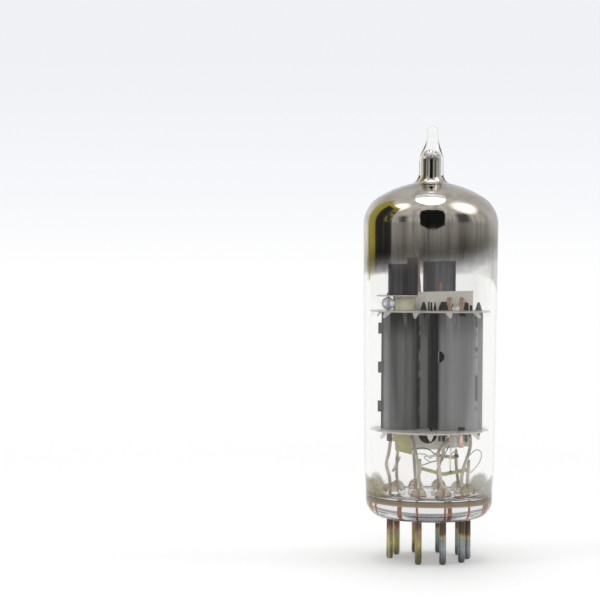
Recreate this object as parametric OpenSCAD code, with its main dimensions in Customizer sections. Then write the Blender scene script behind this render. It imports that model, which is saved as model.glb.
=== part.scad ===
// Nine-pin miniature vacuum tube: a triode and a pentode in one sealed glass bulb.
// Millimetres, +Z up. The origin is on the tube's axis in the plane of the pin tips. The front faces -Y.

/* [Glass] */
// Length from the pin tips to the end of the sealed tip
overall_h = 66.4; // [66:0.1:67]
// Outside diameter of the bulb at its shoulder
bulb_d = 20.64; // [20.5:0.02:20.8]
// Outside diameter of the base above its rounded corner
base_d = 19.4; // [19.2:0.1:19.6]
// Outside diameter of the bulb just above the base
waist_d = 19.94; // [19.8:0.02:20.1]
// Wall of the bulb
wall_t = 0.9; // [0.85:0.01:0.95]
// Radius of the corner under the base
base_round = 2.75; // [2.5:0.05:3]
// Radius of the shoulder
shoulder_round = 5; // [4.8:0.1:5.2]
// Radius of the crown
crown_round = 14.8; // [14.6:0.1:15]
// Outside diameter of the sealed tip
tip_d = 3.8; // [3.7:0.05:3.9]
// Length of the sealed tip above the crown
tip_len = 8.5; // [8.3:0.1:8.7]

/* [Base] */
// Diameter of a pin
pin_d = 1.016; // [1:0.002:1.03]
// Diameter of the circle on which the pins stand
pin_circle_d = 11.89; // [11.8:0.01:11.98]
// Length of a pin below the glass
pin_len = 6.5; // [6.4:0.1:6.6]
// Thickness of the pressed glass base
button_t = 3.4; // [3.2:0.1:3.5]
// Height of the glass boss around each lead
boss_h = 1.4; // [1.3:0.05:1.5]
// Diameter of a lead inside the bulb
lead_d = 0.5; // [0.44:0.02:0.52]

/* [Micas] */
// Height of the lower mica's underside above the pin tips
bottom_mica_z = 19.75; // [19.65:0.05:19.85]
// Thickness of a mica
mica_t = 0.25; // [0.2:0.01:0.3]
// Gap between the tips of the teeth and the glass
mica_gap = 0.03; // [0.02:0.01:0.1]
// Length of a tooth
tooth_len = 1.2; // [1:0.05:1.25]
// Angle by which the teeth are bent down
tooth_bend = 48; // [44:1:55]

/* [Electrodes] */
// Height of the plates between the micas
plate_h = 17.95; // [17.9:0.05:18]
// Thickness of the plate metal
sheet_t = 0.2; // [0.16:0.01:0.22]
// Outside diameter of the triode's plate
triode_plate_d = 5.5; // [5.4:0.05:5.6]
// Width of the pentode's plate between its flanges
pentode_plate_w = 6; // [5.95:0.05:6.05]
// Depth of the pentode's plate from front to back
pentode_plate_d = 7.6; // [7.4:0.1:7.8]
// Diameter of a wound grid wire
grid_wire_d = 0.12; // [0.1:0.01:0.14]
// Turns of the triode's grid
triode_grid_turns = 16; // [8:1:20]
// Turns of the pentode's control grid
control_grid_turns = 24; // [12:1:24]
// Turns of the pentode's screen grid
screen_grid_turns = 14; // [8:1:20]
// Turns of the pentode's suppressor grid
suppressor_grid_turns = 8; // [5:1:12]

/* [Fins and screens] */
// Height of the cooling fins' top edge above the pin tips
fin_top_z = 45.3; // [45:0.1:45.5]
// Thickness of the fin metal
fin_t = 0.25; // [0.2:0.01:0.28]
// Height of the upper screen
top_shield_h = 3; // [2.6:0.1:3.1]
// Height of the lower screen
bottom_shield_h = 3.4; // [3:0.05:3.5]
// Diameter of the copper posts behind the upper screen
post_d = 0.54; // [0.48:0.02:0.56]
// Height of the getter ring above the pin tips
getter_z = 49.3; // [48.8:0.1:49.6]
// Height of the getter mirror's lower edge above the pin tips
flash_z = 45.6; // [45.2:0.1:47]

/* [Hidden] */
$fn = 48;
slack = 0.02;
reach = 30;
over = 1;
root = 0.3;
lap = 0.1;
thin_sides = 6;

// Heights from the pin tips upwards
seat_z = pin_len;
floor_z = seat_z + button_t;
floor_round = 0.5;
seal_z = floor_z + floor_round;
boss_top_z = floor_z + boss_h;
flare_z = 15;
plate_z = bottom_mica_z + mica_t;
top_mica_z = plate_z + plate_h;
deck_z = top_mica_z + mica_t;
crown_z = overall_h - tip_len - crown_round;

// Glass radii
bulb_r = bulb_d / 2;
base_r = base_d / 2;
waist_r = waist_d / 2;
tip_r = tip_d / 2;
bore_r = tip_r - 0.55;
neck_round = 1.6;
nipple_r = 0.92;
nipple_top_r = 0.84;
flash_t = 0.04;
shoulder_x = bulb_r - shoulder_round;
shoulder_z = crown_z + sqrt(pow(crown_round - shoulder_round, 2) - pow(shoulder_x, 2));
shoulder_angle = atan2(shoulder_z - crown_z, shoulder_x);
tip_shoulder_z = overall_h - 5.4;
bore_top_z = tip_shoulder_z + 0.2;
nipple_z = overall_h - 2.2;
nipple_top_z = overall_h - 0.7;

// Pins, seals and leads
pin_count = 9;
pin_step = 36;
first_pin_angle = -19.4;
pin_r = pin_d / 2;
pin_tip_flat_r = 0.2;
pin_tip_h = 0.4;
pin_foot_h = 0.1;
pin_foot_r = pin_r + 0.05;
pin_top_z = seat_z + pin_foot_h;
seal_r = 0.23;
lead_r = lead_d / 2;
lead_z = boss_top_z - 0.4;
lead_free_z = boss_top_z + 0.2;
boss_r = 1.3;
wire_sides = 8;

// Teeth of the micas, bent down, and the flat wings that take their place on the left and right
tooth_root = 0.15;
tooth_root_w = 1.1;
tooth_end_w = 0.3;
wing_w = 5.4;
wing_spread = 17;
tooth_out = tooth_len * cos(tooth_bend) + mica_t / 2 * sin(tooth_bend) - tooth_root;
tooth_down = tooth_len * sin(tooth_bend);

// Electrode places along X, with the systems' axes in the plane y = 0
triode_x = -4.45;
pentode_x = 3.95;
triode_r = triode_plate_d / 2;
triode_wing_right = -0.35;
triode_wing_left = -7.45;
triode_lug_left = -7.95;
triode_lug_h = 1.7;
triode_lug_rise = 0.45;
triode_tab_angle = 230;
triode_tab_spread = 9;
triode_ear_x = -1;
ear_w = 1;
ear_h = 1.5;
ear_neck = 0.35;
ear_taper = 0.4;
ear_taper_share = 0.35;
tab_drop = 1.5;
flange_left = 0.8;
flange_right = 1.35;
flange_ear_w = 1;
flange_ear_x = pentode_x + pentode_plate_w / 2 + 0.55;
flange_left_ear_w = 0.4;
flange_left_ear_x = pentode_x - pentode_plate_w / 2 - 0.2;
wall_ears = [[-1.08, 2.5], [1.85, 1]];
plate_corner = 0.7;
window_r = 0.9;
window_x = pentode_x - 2.94;
window_z = 31.2;
notch_x = pentode_x + 0.55;
notch_w = 1;
notch_h = 0.6;
seam_slots = 6;
seam_slot_w = 0.22;
seam_slot_h = 1.5;

// Cathodes, heaters and grids
triode_cathode_r = 0.62;
pentode_cathode_r = 0.45;
pentode_cathode_x = 0.2;
cathode_wall = 0.1;
cathode_low_z = bottom_mica_z - 0.85;
cathode_top_z = deck_z + 0.6;
heater_r = 0.1;
heater_low_z = plate_z + 0.6;
heater_top_z = top_mica_z - 0.3;
heater_exit_z = cathode_low_z - 0.1;
pentode_heater_low_z = cathode_low_z - 1.4;
triode_grid_rod_r = 0.25;
triode_grid_rod_x = 1;
control_grid_rod_r = 0.28;
control_grid_rod_x = 0.98;
flat_end_x = 0.2;
flat_end_r = 0.22;
screen_grid_rod_r = 0.24;
screen_grid_rod_x = 1.74;
suppressor_grid_rod_r = 0.2;
suppressor_grid_rod_x = 2.36;
rod_low_z = bottom_mica_z - 1.75;
rod_top_z = deck_z + 2;
control_rod_drop = 0.9;
screen_rod_cut = 0.8;
suppressor_rod_cut = 1.2;
winding_low_z = plate_z + 0.8;
winding_top_z = top_mica_z - 0.75;
winding_steps = 12;
winding_sides = 4;
grid_wire_r = grid_wire_d / 2;
triode_grid_depth = 0.95;
control_grid_depth = 0.8;
screen_grid_depth = 1.35;
suppressor_grid_depth = 2.2;

// Screens between and beside the systems
section_depth = 8.4;
section_ear_y = 2.5;
section_ear_w = 1.2;
section_foot_y = [-0.9, 0.5];
section_foot_x = -0.3;
section_foot_r = 1.4;
section_foot_z = bottom_mica_z - 0.55;
shield_y = 4.4;
shield_ear_w = 0.8;
top_shield_plan = [[-1.9, 2.4], [-0.3, shield_y], [7.25, shield_y]];
top_shield_ear_xs = [2.4, 6];
top_shield_slope = 1.6;
top_shield_drop = 0.25;
bottom_shield_plan = [[-2.6, 3.6], [-2.4, shield_y], [6.1, shield_y], [6.9, 3.4]];
bottom_shield_cut_x = 1.27;
bottom_shield_slope = 6;
shield_cut_h = 2;
bottom_shield_ear_xs = [0.7, 5];

// Small mica, fins, posts and what stands between the micas
small_mica_t = 0.2;
small_mica_z = deck_z + 2.1;
small_mica_r = 8.3;
small_mica_front = [[-reach, -3.6], [-2.2, -3.6], [-2.2, 2], [-3, 3.2], [-reach, 3.2]];
fin_left_low_z = small_mica_z + small_mica_t;
fin_left_y = -triode_grid_rod_r - fin_t / 2;
fin_left_plan = [[-6.35, 0.4], [-5.9, fin_left_y], [-3.4, fin_left_y]];
fin_strip_plan = [[-3.5, fin_left_y], [-3.2, fin_left_y - 0.4], [-1.95, fin_left_y - 0.4]];
fin_strip_extra = 1;
fin_rod_top_z = 44.6;
fin_right_low_z = deck_z + 1.4;
fin_right_top_z = fin_top_z + 0.5;
fin_right_plan = [[-0.59, 6.3], [0.14, 5.6], [2.06, 5.42], [4.53, 6.2]];
post_r = post_d / 2;
post_sides = 12;
post_lean_z = deck_z + 2.3;
post_feet = [[-1.28, 5], [1.95, 5]];
getter_post_top = [-1.95, 4.6];
post_end_h = 0.6;
fin_post_top_z = 42.6;
getter_centre = [-0.7, 3.9];
getter_r = 1.45;
getter_w = 0.9;
getter_h = 0.7;
getter_wall = 0.15;
collar_x = -3.87;
collar_r = 1.7;
collar_angles = [200, 235, 270, 305, 340];
collar_t = 0.15;
bead_at = [-6.5, -2.4];
bead_r = 0.96;
bead_pin_r = 0.2;
bead_pin_over = 0.4;

// Pieces below the lower mica
flag_y = -0.7;
flag_t = 0.15;
flag_outline = [[-5.42, 19.6], [-3.1, 19.6], [-2.64, 16.05], [-5.2, 16.7]];
link_x = 0.42;
link_w = 0.35;
link_t = 0.15;
link_z = bottom_mica_z - 0.55;
strap_t = 0.15;
strap_h = 0.55;
strap_upper_line = [[1.7, 2.3, 15.6], [2.6, 2.65, 15.5], [4.3, 3.26, 15.25]];
strap_lower_line = [[-1.5, -0.87, 14.05], [1.25, -1.35, 13.35], [2.1, -1.3, 13.15], [3.6, -1.1, 13.4],
    [5.8, -0.15, 13.75]];
stub_at = [-1.5, -1.2];
stub_wire_r = 0.25;
stub_low_z = 13.2;
stub_wire_top_z = 15.5;
loop_r = 0.08;
spur_r = 0.2;

// Routes of the bent wires, chosen by hand, from the free end of the straight part upwards
lead_routes = [
    [[-1.9, -5.4, 13], [-2.05, -4.1, 15.2], [-2.3, -2.2, 17], [-2.45, -0.9, 18], [-2.55, -0.4, 18.5],
        [-2.95, 0, 18.9]],
    [[1.35, -5.45, 12.6], [1.12, -4.9, 14.4], [1, -4.3, 16], [1.2, -3.4, 16.9], [1.95, -2, 17.6],
        [2.75, -0.8, 18.2], [2.95, -0.5, 18.6]],
    [[4.6, -3.45, 12.6], [4.95, -2.9, 14.2], [5.9, -1.5, 16.4], [6.28, -0.66, 17.6], [6.31, -0.5, 18.3],
        [6.31, -0.48, 18.9]],
    [[6, 0, 12.6], [6.08, 0.05, 14], [6.15, 0.1, 15.3]],
    [[4.72, 3.49, 12.8], [4.56, 3.45, 14.5], [4.55, 3.45, 16.5]],
    [[1.85, 5.3, 12.8], [2, 4.1, 14.2], [2.2, 1.4, 15.4], [2.21, 0.2, 16.6], [2.21, 0, 17.4],
        [2.21, 0, 17.98]],
    [[-1.85, 5.6, 13], [-2, 5.2, 15], [-2.05, 4.8, 16.8], [-2.05, 4.78, 18.6]],
    [[-4.85, 3.2, 12.8], [-4.9, 1.5, 14.8], [-4.85, 0, 16.2], [-4.8, -0.36, 17.2]],
    [[-6.1, -0.2, 12.7], [-6.55, -0.9, 14.6], [-6.2, -1.6, 16.6], [-5.91, -1.73, 18.9]],
];
triode_strands = [[-0.22, -0.22], [-0.22, 0.22], [0.22, 0.22], [0.22, -0.22]];
triode_leg_in = [[1.8, 2.13, 15.6], [1.1, 1.9, 16.05], [0.4, 1.55, 15.3], [-0.5, 1.2, 15.9],
    [-1.6, 0.6, 16.1], [-3, 0.25, 16.7], [-4.5, 0.1, 17.7]];
triode_leg_out = [[-4.15, -0.2, 18], [-3.7, -0.15, 17.3], [-2.6, -0.2, 16.6], [-1.76, -0.91, 15.3]];
pentode_strands = [[-0.36, 0], [-0.12, 0], [0.12, 0], [0.36, 0]];
pentode_leg_in = [[3.55, -0.92, 13.7], [3.5, -0.7, 15.5], [3.52, -0.15, 17.5]];
pentode_leg_out = [[4.25, 0.2, 17.6], [4.1, 0.5, 16.7], [3.6, 1.7, 15.9], [3.2, 2.66, 15.42]];
loop_route = [[6.28, 0.47, 15.8], [6.8, 0.5, 16.35], [7.5, 0.45, 16.75], [8.2, 0.35, 16.3],
    [8.05, 0.3, 15.2], [7.2, 0.3, 13.9], [6.35, 0.2, 13.2]];
spur_line = [[-4.5, 0.1, 15.6], [-5.45, 2.45, 13.1]];

// Curves and outlines

// Points of an arc about c from angle a0 to a1, without its first point
function arc(c, r, a0, a1, n) =
    [for (i = [1:n]) let (a = a0 + (a1 - a0) * i / n) [c[0] + r * cos(a), c[1] + r * sin(a)]];

// Smooth step from 0 to 1
function ease(t) = t * t * (3 - 2 * t);

function reversed(list) = [for (i = [len(list) - 1:-1:0]) list[i]];

// Outside radius of the bulb's wall at height z, below the shoulder
function wall_r(z) = z < flare_z
    ? base_r + (waist_r - base_r) * ease((z - seal_z) / (flare_z - seal_z))
    : waist_r + (bulb_r - waist_r) * (z - flare_z) / (shoulder_z - flare_z);

// Side wall from height z up to the shoulder, moved inwards by d
function wall_line(z, d) = concat(
    [for (i = [0:5]) let (h = z + (flare_z - z) * i / 6) if (z < flare_z) [wall_r(h) - d, h]],
    [[wall_r(max(z, flare_z)) - d, max(z, flare_z)], [bulb_r - d, shoulder_z]]);

// Shoulder and crown moved inwards by d, up to the angle a on the crown
function crown_line(d, a) = concat(
    arc([shoulder_x, shoulder_z], shoulder_round - d, 0, shoulder_angle, 8),
    arc([0, crown_z], crown_round - d, shoulder_angle, a, 8));

// Centre of the fillet between a crown moved inwards by d and a tip of radius r
function neck_centre(d, r) = let (x = r + neck_round + d)
    [x, crown_z + sqrt(pow(crown_round + neck_round, 2) - x * x)];

// Shoulder, crown and neck moved inwards by d, up to a tip of radius r
function dome_line(d, r) = let (
        c = neck_centre(d, r),
        a = atan2(c[1] - crown_z, c[0])
    ) concat(crown_line(d, a), arc(c, neck_round + d, a + 180, 180, 6));

// Bulb's side from the seal to the tip, moved inwards by d, with the tip at radius r
function bulb_side(d, r) = concat(wall_line(seal_z, d), dome_line(d, r));

// Sealed tip from its shoulder up to the round end
tip_side = concat(
    [for (i = [0:8]) let (t = i / 8)
        [tip_r + (nipple_r - tip_r) * ease(t), tip_shoulder_z + (nipple_z - tip_shoulder_z) * t]],
    [for (i = [0:6]) let (a = 15 * i)
        [nipple_top_r * cos(a), nipple_top_z + (overall_h - nipple_top_z) * sin(a)]]);

// Bore of the sealed tip at radius r, with its round end
function bore_line(r) = concat([[r, bore_top_z]], arc([0, bore_top_z], r, 0, 90, 6));

bulb_outline = concat(
    bulb_side(0, tip_r),
    tip_side,
    reversed(concat(
        bulb_side(wall_t, bore_r),
        bore_line(bore_r))));

button_outline = concat(
    [[0, seat_z], [base_r - base_round, seat_z]],
    arc([base_r - base_round, seat_z + base_round], base_round, -90, 0, 9),
    [[base_r, seal_z], [base_r - wall_t, seal_z]],
    arc([base_r - wall_t - floor_round, seal_z], floor_round, 0, -90, 4),
    [[0, floor_z]]);

// Getter mirror's skin, moved inwards from the glass by t, from its lower edge up into the tip
function flash_line(t) = let (d = wall_t + t, r = bore_r - t) concat(
    [[wall_r(flash_z) - d, flash_z], [bulb_r - d, shoulder_z]],
    dome_line(d, r),
    bore_line(r));

// Unit normal of the line from a to b
function side_of(a, b) = [a[1] - b[1], b[0] - a[0]] / norm(b - a);

// Corner i of a bent sheet's middle line, moved sideways by d
function mitre(p, i, d) = let (
        n0 = side_of(p[max(i - 1, 0)], p[max(i, 1)]),
        n1 = side_of(p[min(i, len(p) - 2)], p[min(i + 1, len(p) - 1)]),
        m = (n0 + n1) / norm(n0 + n1)
    ) p[i] + m * d / (m * n0);

// Outline of a sheet of thickness t bent along the line p
function bent_sheet(p, t) = concat(
    [for (i = [0:len(p) - 1]) mitre(p, i, t / 2)],
    [for (i = [len(p) - 1:-1:0]) mitre(p, i, -t / 2)]);

// Wires

// Smooth curve through the points p, with n steps between neighbours
function smooth(p, n) = concat(
    [for (i = [0:len(p) - 2], k = [0:n - 1]) let (
            t = k / n,
            a = p[max(i - 1, 0)],
            b = p[i],
            c = p[i + 1],
            d = p[min(i + 2, len(p) - 1)]
        ) b + t * (c - a) / 2
            + t * t * (a - 2.5 * b + 2 * c - d / 2)
            + t * t * t * (1.5 * (b - c) + (d - a) / 2)],
    [p[len(p) - 1]]);

function unit(v) = v / norm(v);

function heading(p, i) = unit(p[min(i + 1, len(p) - 1)] - p[max(i - 1, 0)]);

// A direction square to the path at each of its points, carried along without twisting
function carried(p) = [
    for (
        i = 0, t = heading(p, 0), n = unit(cross(t, abs(t[0]) < 0.9 ? [1, 0, 0] : [0, 1, 0]));
        i < len(p);
        i = i + 1, t = heading(p, min(i, len(p) - 1)), n = unit(n - (n * t) * t)
    ) n
];

function ring(centre, t, n, r, sides) =
    [for (j = [0:sides - 1]) let (a = 360 * j / sides) centre + r * (cos(a) * n + sin(a) * cross(t, n))];

// One unbroken tube of radius r along the path p
module wire(p, r, sides = wire_sides) {
    across = carried(p);
    last = len(p) - 1;
    points = [for (i = [0:last]) each ring(p[i], heading(p, i), across[i], r, sides)];
    walls = [
        for (i = [0:last - 1], j = [0:sides - 1])
            let (a = i * sides + j, b = i * sides + (j + 1) % sides)
                each [[a, a + sides, b + sides], [a, b + sides, b]]
    ];
    foot = [for (j = [1:sides - 2]) [0, j, j + 1]];
    head = [for (j = [1:sides - 2]) [last * sides, last * sides + j + 1, last * sides + j]];
    polyhedron(points = points, faces = concat(walls, foot, head));
}

// Places of the base pins, numbered from the gap
function pin_at(n) = let (a = first_pin_angle + pin_step * (n - 1))
    [pin_circle_d / 2 * sin(a), -pin_circle_d / 2 * cos(a)];

function lead_path(n) = let (p = pin_at(n)) concat(
    [[p[0], p[1], lead_z]],
    smooth(concat([[p[0], p[1], lead_free_z]], lead_routes[n - 1]), 3));

// Oval helix of a wound grid about x = cx
function winding_path(cx, half_w, half_d, turns) = let (count = turns * winding_steps)
    [for (i = [0:count]) let (a = 360 * i / winding_steps)
        [cx + half_w * cos(a), half_d * sin(a),
            winding_low_z + (winding_top_z - winding_low_z) * i / count]];

// Half width of a winding that goes round two side rods
function winding_w(rod_x, rod_r) = rod_x + rod_r + grid_wire_r + 2 * slack;

// Least gap between one turn's points and the points of the next two turns
function least_gap(p) = min([for (i = [0:len(p) - 1], j = [i + winding_steps / 2:i + 2 * winding_steps])
    if (j < len(p)) norm(p[i] - p[j])]) - grid_wire_d;

triode_winding = winding_path(triode_x, winding_w(triode_grid_rod_x, triode_grid_rod_r),
    triode_grid_depth, triode_grid_turns);
control_winding = winding_path(pentode_x, winding_w(control_grid_rod_x, control_grid_rod_r),
    control_grid_depth, control_grid_turns);
screen_winding = winding_path(pentode_x, winding_w(screen_grid_rod_x, screen_grid_rod_r),
    screen_grid_depth, screen_grid_turns);
suppressor_winding = winding_path(pentode_x, winding_w(suppressor_grid_rod_x, suppressor_grid_rod_r),
    suppressor_grid_depth, suppressor_grid_turns);
echo(triode_grid_gap = least_gap(triode_winding));
echo(control_grid_gap = least_gap(control_winding));
echo(screen_grid_gap = least_gap(screen_winding));
echo(suppressor_grid_gap = least_gap(suppressor_winding));

// Half turn at the end of strand k of a folded heater, at height z
function fold(strands, k, z, up) = let (
        m = (strands[k] + strands[k + 1]) / 2,
        h = (strands[k] - strands[k + 1]) / 2
    ) [for (a = [0:30:180]) [m[0] + h[0] * cos(a), m[1] + h[1] * cos(a), z + up * norm(h) * sin(a)]];

// Folded heater wire with its strands about x = cx and its lower folds at low_z, from the incoming leg on
function heater_path(cx, strands, low_z, leg_in, leg_out) = let (last = strands[len(strands) - 1]) concat(
    smooth(concat(leg_in, [[cx + strands[0][0], strands[0][1], heater_exit_z]]), 3),
    [for (k = [0:len(strands) - 2])
        let (up = k % 2 == 0 ? 1 : -1, z = up > 0 ? heater_top_z : low_z)
            for (q = fold(strands, k, z, up)) [q[0] + cx, q[1], q[2]]],
    smooth(concat([[cx + last[0], last[1], heater_exit_z]], leg_out), 3));

// Shapes used by several pieces

// Bent sheet standing on edge from z = low to z = high
module standing_sheet(plan, t, low, high) {
    translate([0, 0, low])
        linear_extrude(high - low)
            polygon(bent_sheet(plan, t));
}

// Pointed ear in the plane y = 0 to -t, standing up from z = 0 with a root below it
module ear(w, t, h = ear_h) {
    taper = min(ear_taper, w * ear_taper_share);
    rotate([90, 0, 0])
        linear_extrude(t)
            polygon([[-w / 2, -root], [w / 2, -root], [w / 2, ear_neck], [w / 2 - taper, h],
                [taper - w / 2, h], [-w / 2, ear_neck]]);
}

// The same ear at both ends of a plate, whose front face is at y
module ear_pair(x, y, w, t) {
    translate([x, y + t, top_mica_z])
        ear(w, t);
    translate([x, y + t, plate_z])
        mirror([0, 0, 1])
            ear(w, t);
}

// Slot through a mica, with its centre at x and y
module slot(x, y, w, d) {
    translate([x - w / 2 - slack, y - d / 2 - slack, -reach])
        cube([w + 2 * slack, d + 2 * slack, 3 * reach]);
}

// Two upright rods of radius r about x = cx
module side_rods(cx, rod_x, r, low, high) {
    for (side = [-1, 1])
        translate([cx + side * rod_x, 0, low])
            cylinder(r = r, h = high - low);
}

module oval(half_x, r) {
    for (side = [-1, 1])
        translate([side * half_x, 0])
            circle(r = r);
    translate([-half_x, -r])
        square([2 * half_x, 2 * r]);
}

// Glass

module bulb() {
    color("gainsboro", 0.35)
        rotate_extrude()
            polygon(bulb_outline);
}

module boss() {
    rise = boss_top_z - floor_z;
    rotate_extrude()
        polygon(concat(
            [[0, -root], [boss_r, -root]],
            [for (i = [0:5]) let (a = 15 * i) [boss_r * cos(a), rise * sin(a)]],
            [[0, rise]]));
}

module button_stem() {
    color("gainsboro", 0.5)
        difference() {
            union() {
                rotate_extrude()
                    polygon(button_outline);
                for (n = [1:pin_count])
                    translate([pin_at(n)[0], pin_at(n)[1], floor_z])
                        boss();
            }
            for (n = [1:pin_count])
                translate(pin_at(n)) {
                    translate([0, 0, seat_z - over])
                        cylinder(r = pin_foot_r, h = over + pin_foot_h);
                    translate([0, 0, seat_z])
                        cylinder(r = seal_r, h = reach);
                    translate([0, 0, lead_z])
                        cylinder(r = lead_r, h = reach);
                }
        }
}

module getter_flash() {
    color("silver")
        rotate_extrude()
            polygon(concat(flash_line(0), reversed(flash_line(flash_t))));
}

// Pins, seals and leads

module base_pin(n) {
    color("rosybrown")
        translate(pin_at(n))
            rotate_extrude()
                polygon(concat(
                    [[0, 0], [pin_tip_flat_r, 0]],
                    [for (i = [1:4]) let (a = 22.5 * i)
                        [pin_tip_flat_r + (pin_r - pin_tip_flat_r) * sin(a), pin_tip_h * (1 - cos(a))]],
                    [[pin_r, pin_top_z], [0, pin_top_z]]));
}

module dumet_seals() {
    color("indianred")
        for (n = [1:pin_count])
            translate([pin_at(n)[0], pin_at(n)[1], pin_top_z])
                cylinder(r = seal_r, h = lead_z - pin_top_z);
}

module lead(n) {
    color("darkgray")
        wire(lead_path(n), lead_r);
}

// Micas

module mica_tooth() {
    translate([0, 0, -mica_t / 2])
        linear_extrude(mica_t)
            polygon([[0, -tooth_root_w / 2], [tooth_len, -tooth_end_w / 2],
                [tooth_len, tooth_end_w / 2], [0, tooth_root_w / 2]]);
}

// Whether the tooth at this angle from the front is one of the flat wings on the left and right
function is_wing(angle) = abs(sin(angle)) > cos(wing_spread);

// Outline of a flat wing that reaches the radius r
module mica_wing(r) {
    intersection() {
        circle(r = r);
        translate([0, -wing_w / 2])
            square([r, wing_w]);
    }
}

// Disc with its underside at z, whose teeth and wings just clear the glass
module mica_disc(z, teeth, first_angle) {
    mica_r = wall_r(z - tooth_down) - wall_t - mica_gap - tooth_out;
    angles = [for (i = [0:teeth - 1]) first_angle + 360 * i / teeth];
    translate([0, 0, z])
        linear_extrude(mica_t) {
            circle(r = mica_r);
            for (angle = angles)
                if (is_wing(angle))
                    rotate(angle - 90)
                        mica_wing(wall_r(z) - wall_t - mica_gap);
        }
    for (angle = angles)
        if (!is_wing(angle))
            rotate([0, 0, angle - 90])
                translate([mica_r - tooth_root, 0, z + mica_t / 2])
                    rotate([0, tooth_bend, 0])
                        mica_tooth();
}

// Places where the electrodes pass through both micas
module electrode_holes() {
    slot(triode_ear_x, 0, ear_w, 2 * sheet_t);
    slot(flange_ear_x, 0, flange_ear_w, 2 * sheet_t);
    slot(flange_left_ear_x, 0, flange_left_ear_w, 2 * sheet_t);
    for (e = wall_ears)
        slot(pentode_x + e[0], (pentode_plate_d - sheet_t) / 2, e[1], sheet_t);
    for (side = [-1, 1])
        slot(0, side * section_ear_y, sheet_t, section_ear_w);
    side_rods(triode_x, triode_grid_rod_x, triode_grid_rod_r + slack, -reach, 2 * reach);
    side_rods(pentode_x, control_grid_rod_x, control_grid_rod_r + slack, -reach, 2 * reach);
    side_rods(pentode_x, screen_grid_rod_x, screen_grid_rod_r + slack, -reach, 2 * reach);
    side_rods(pentode_x, suppressor_grid_rod_x, suppressor_grid_rod_r + slack, -reach, 2 * reach);
    translate([triode_x, 0, -reach])
        cylinder(r = triode_cathode_r + slack, h = 3 * reach);
    translate([pentode_x, 0, -reach])
        linear_extrude(3 * reach)
            oval(pentode_cathode_x, pentode_cathode_r + slack);
}

module bottom_mica() {
    bottom_teeth = 7;
    bottom_first_angle = -3.4;
    color("beige")
        difference() {
            mica_disc(bottom_mica_z, bottom_teeth, bottom_first_angle);
            electrode_holes();
            slot(0, (section_foot_y[0] + section_foot_y[1]) / 2,
                sheet_t, section_foot_y[1] - section_foot_y[0]);
            for (x = bottom_shield_ear_xs)
                slot(x, shield_y, shield_ear_w, sheet_t);
            for (side = [-1, 1])
                translate([triode_x, 0, 0])
                    rotate([0, 0, side * triode_tab_angle])
                        slot(triode_r - sheet_t / 2, 0, 2.5 * sheet_t, ear_w);
        }
}

module top_mica() {
    top_teeth = 11;
    top_first_angle = -18.3;
    color("beige")
        difference() {
            mica_disc(top_mica_z, top_teeth, top_first_angle);
            electrode_holes();
            for (x = top_shield_ear_xs)
                slot(x, shield_y, shield_ear_w, sheet_t);
            for (foot = post_feet)
                translate([foot[0], foot[1], 0])
                    cylinder(r = post_r + slack, h = reach + top_mica_z);
            translate([bead_at[0], bead_at[1], 0])
                cylinder(r = bead_pin_r + slack, h = reach + top_mica_z);
        }
}

module radiator_mica() {
    color("beige")
        difference() {
            intersection() {
                translate([0, 0, small_mica_z])
                    cylinder(r = small_mica_r, h = small_mica_t);
                translate([0, 0, small_mica_z - over])
                    linear_extrude(2 * over + small_mica_t)
                        polygon(small_mica_front);
            }
            side_rods(triode_x, triode_grid_rod_x, triode_grid_rod_r + slack,
                small_mica_z - over, small_mica_z + 2 * over);
            translate([bead_at[0], bead_at[1], small_mica_z - over])
                cylinder(r = bead_pin_r + slack, h = 3 * over);
        }
}

// Triode on the left

module triode_shell() {
    difference() {
        circle(r = triode_r);
        circle(r = triode_r - sheet_t);
        translate([-reach, 0])
            square([2 * reach, reach]);
    }
}

module triode_half() {
    tab_sides = [triode_tab_angle - triode_tab_spread, triode_tab_angle + triode_tab_spread];
    translate([0, 0, plate_z])
        linear_extrude(plate_h) {
            translate([triode_x, 0])
                triode_shell();
            translate([triode_x + triode_r - sheet_t / 2, -sheet_t])
                square([triode_wing_right - triode_x - triode_r + sheet_t / 2, sheet_t]);
            translate([triode_wing_left, -sheet_t])
                square([triode_x - triode_r + sheet_t / 2 - triode_wing_left, sheet_t]);
        }
    for (k = [1, 3, 5])
        translate([triode_lug_left, -sheet_t, plate_z + plate_h * k / 6 + triode_lug_rise - triode_lug_h / 2])
            cube([triode_wing_left - triode_lug_left + lap, sheet_t, triode_lug_h]);
    ear_pair(triode_ear_x, -sheet_t, ear_w, sheet_t);
    translate([triode_x, 0, bottom_mica_z - tab_drop])
        linear_extrude(tab_drop + mica_t + root)
            intersection() {
                triode_shell();
                polygon(concat([[0, 0]], [for (a = tab_sides) reach * [cos(a), sin(a)]]));
            }
}

module triode_plate_front() {
    color("dimgray")
        triode_half();
}

module triode_plate_rear() {
    color("dimgray")
        mirror([0, 1, 0])
            triode_half();
}

module triode_cathode() {
    color("lightgray")
        translate([triode_x, 0, cathode_low_z])
            linear_extrude(cathode_top_z - cathode_low_z)
                difference() {
                    circle(r = triode_cathode_r);
                    circle(r = triode_cathode_r - cathode_wall);
                }
}

module triode_heater() {
    color("white")
        wire(heater_path(triode_x, triode_strands, heater_low_z, triode_leg_in, triode_leg_out),
            heater_r, thin_sides);
}

module triode_grid_rods() {
    color("sandybrown")
        side_rods(triode_x, triode_grid_rod_x, triode_grid_rod_r, rod_low_z, fin_rod_top_z);
}

module triode_grid_winding() {
    color("gold")
        wire(triode_winding, grid_wire_r, winding_sides);
}

// Pentode on the right

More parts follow.
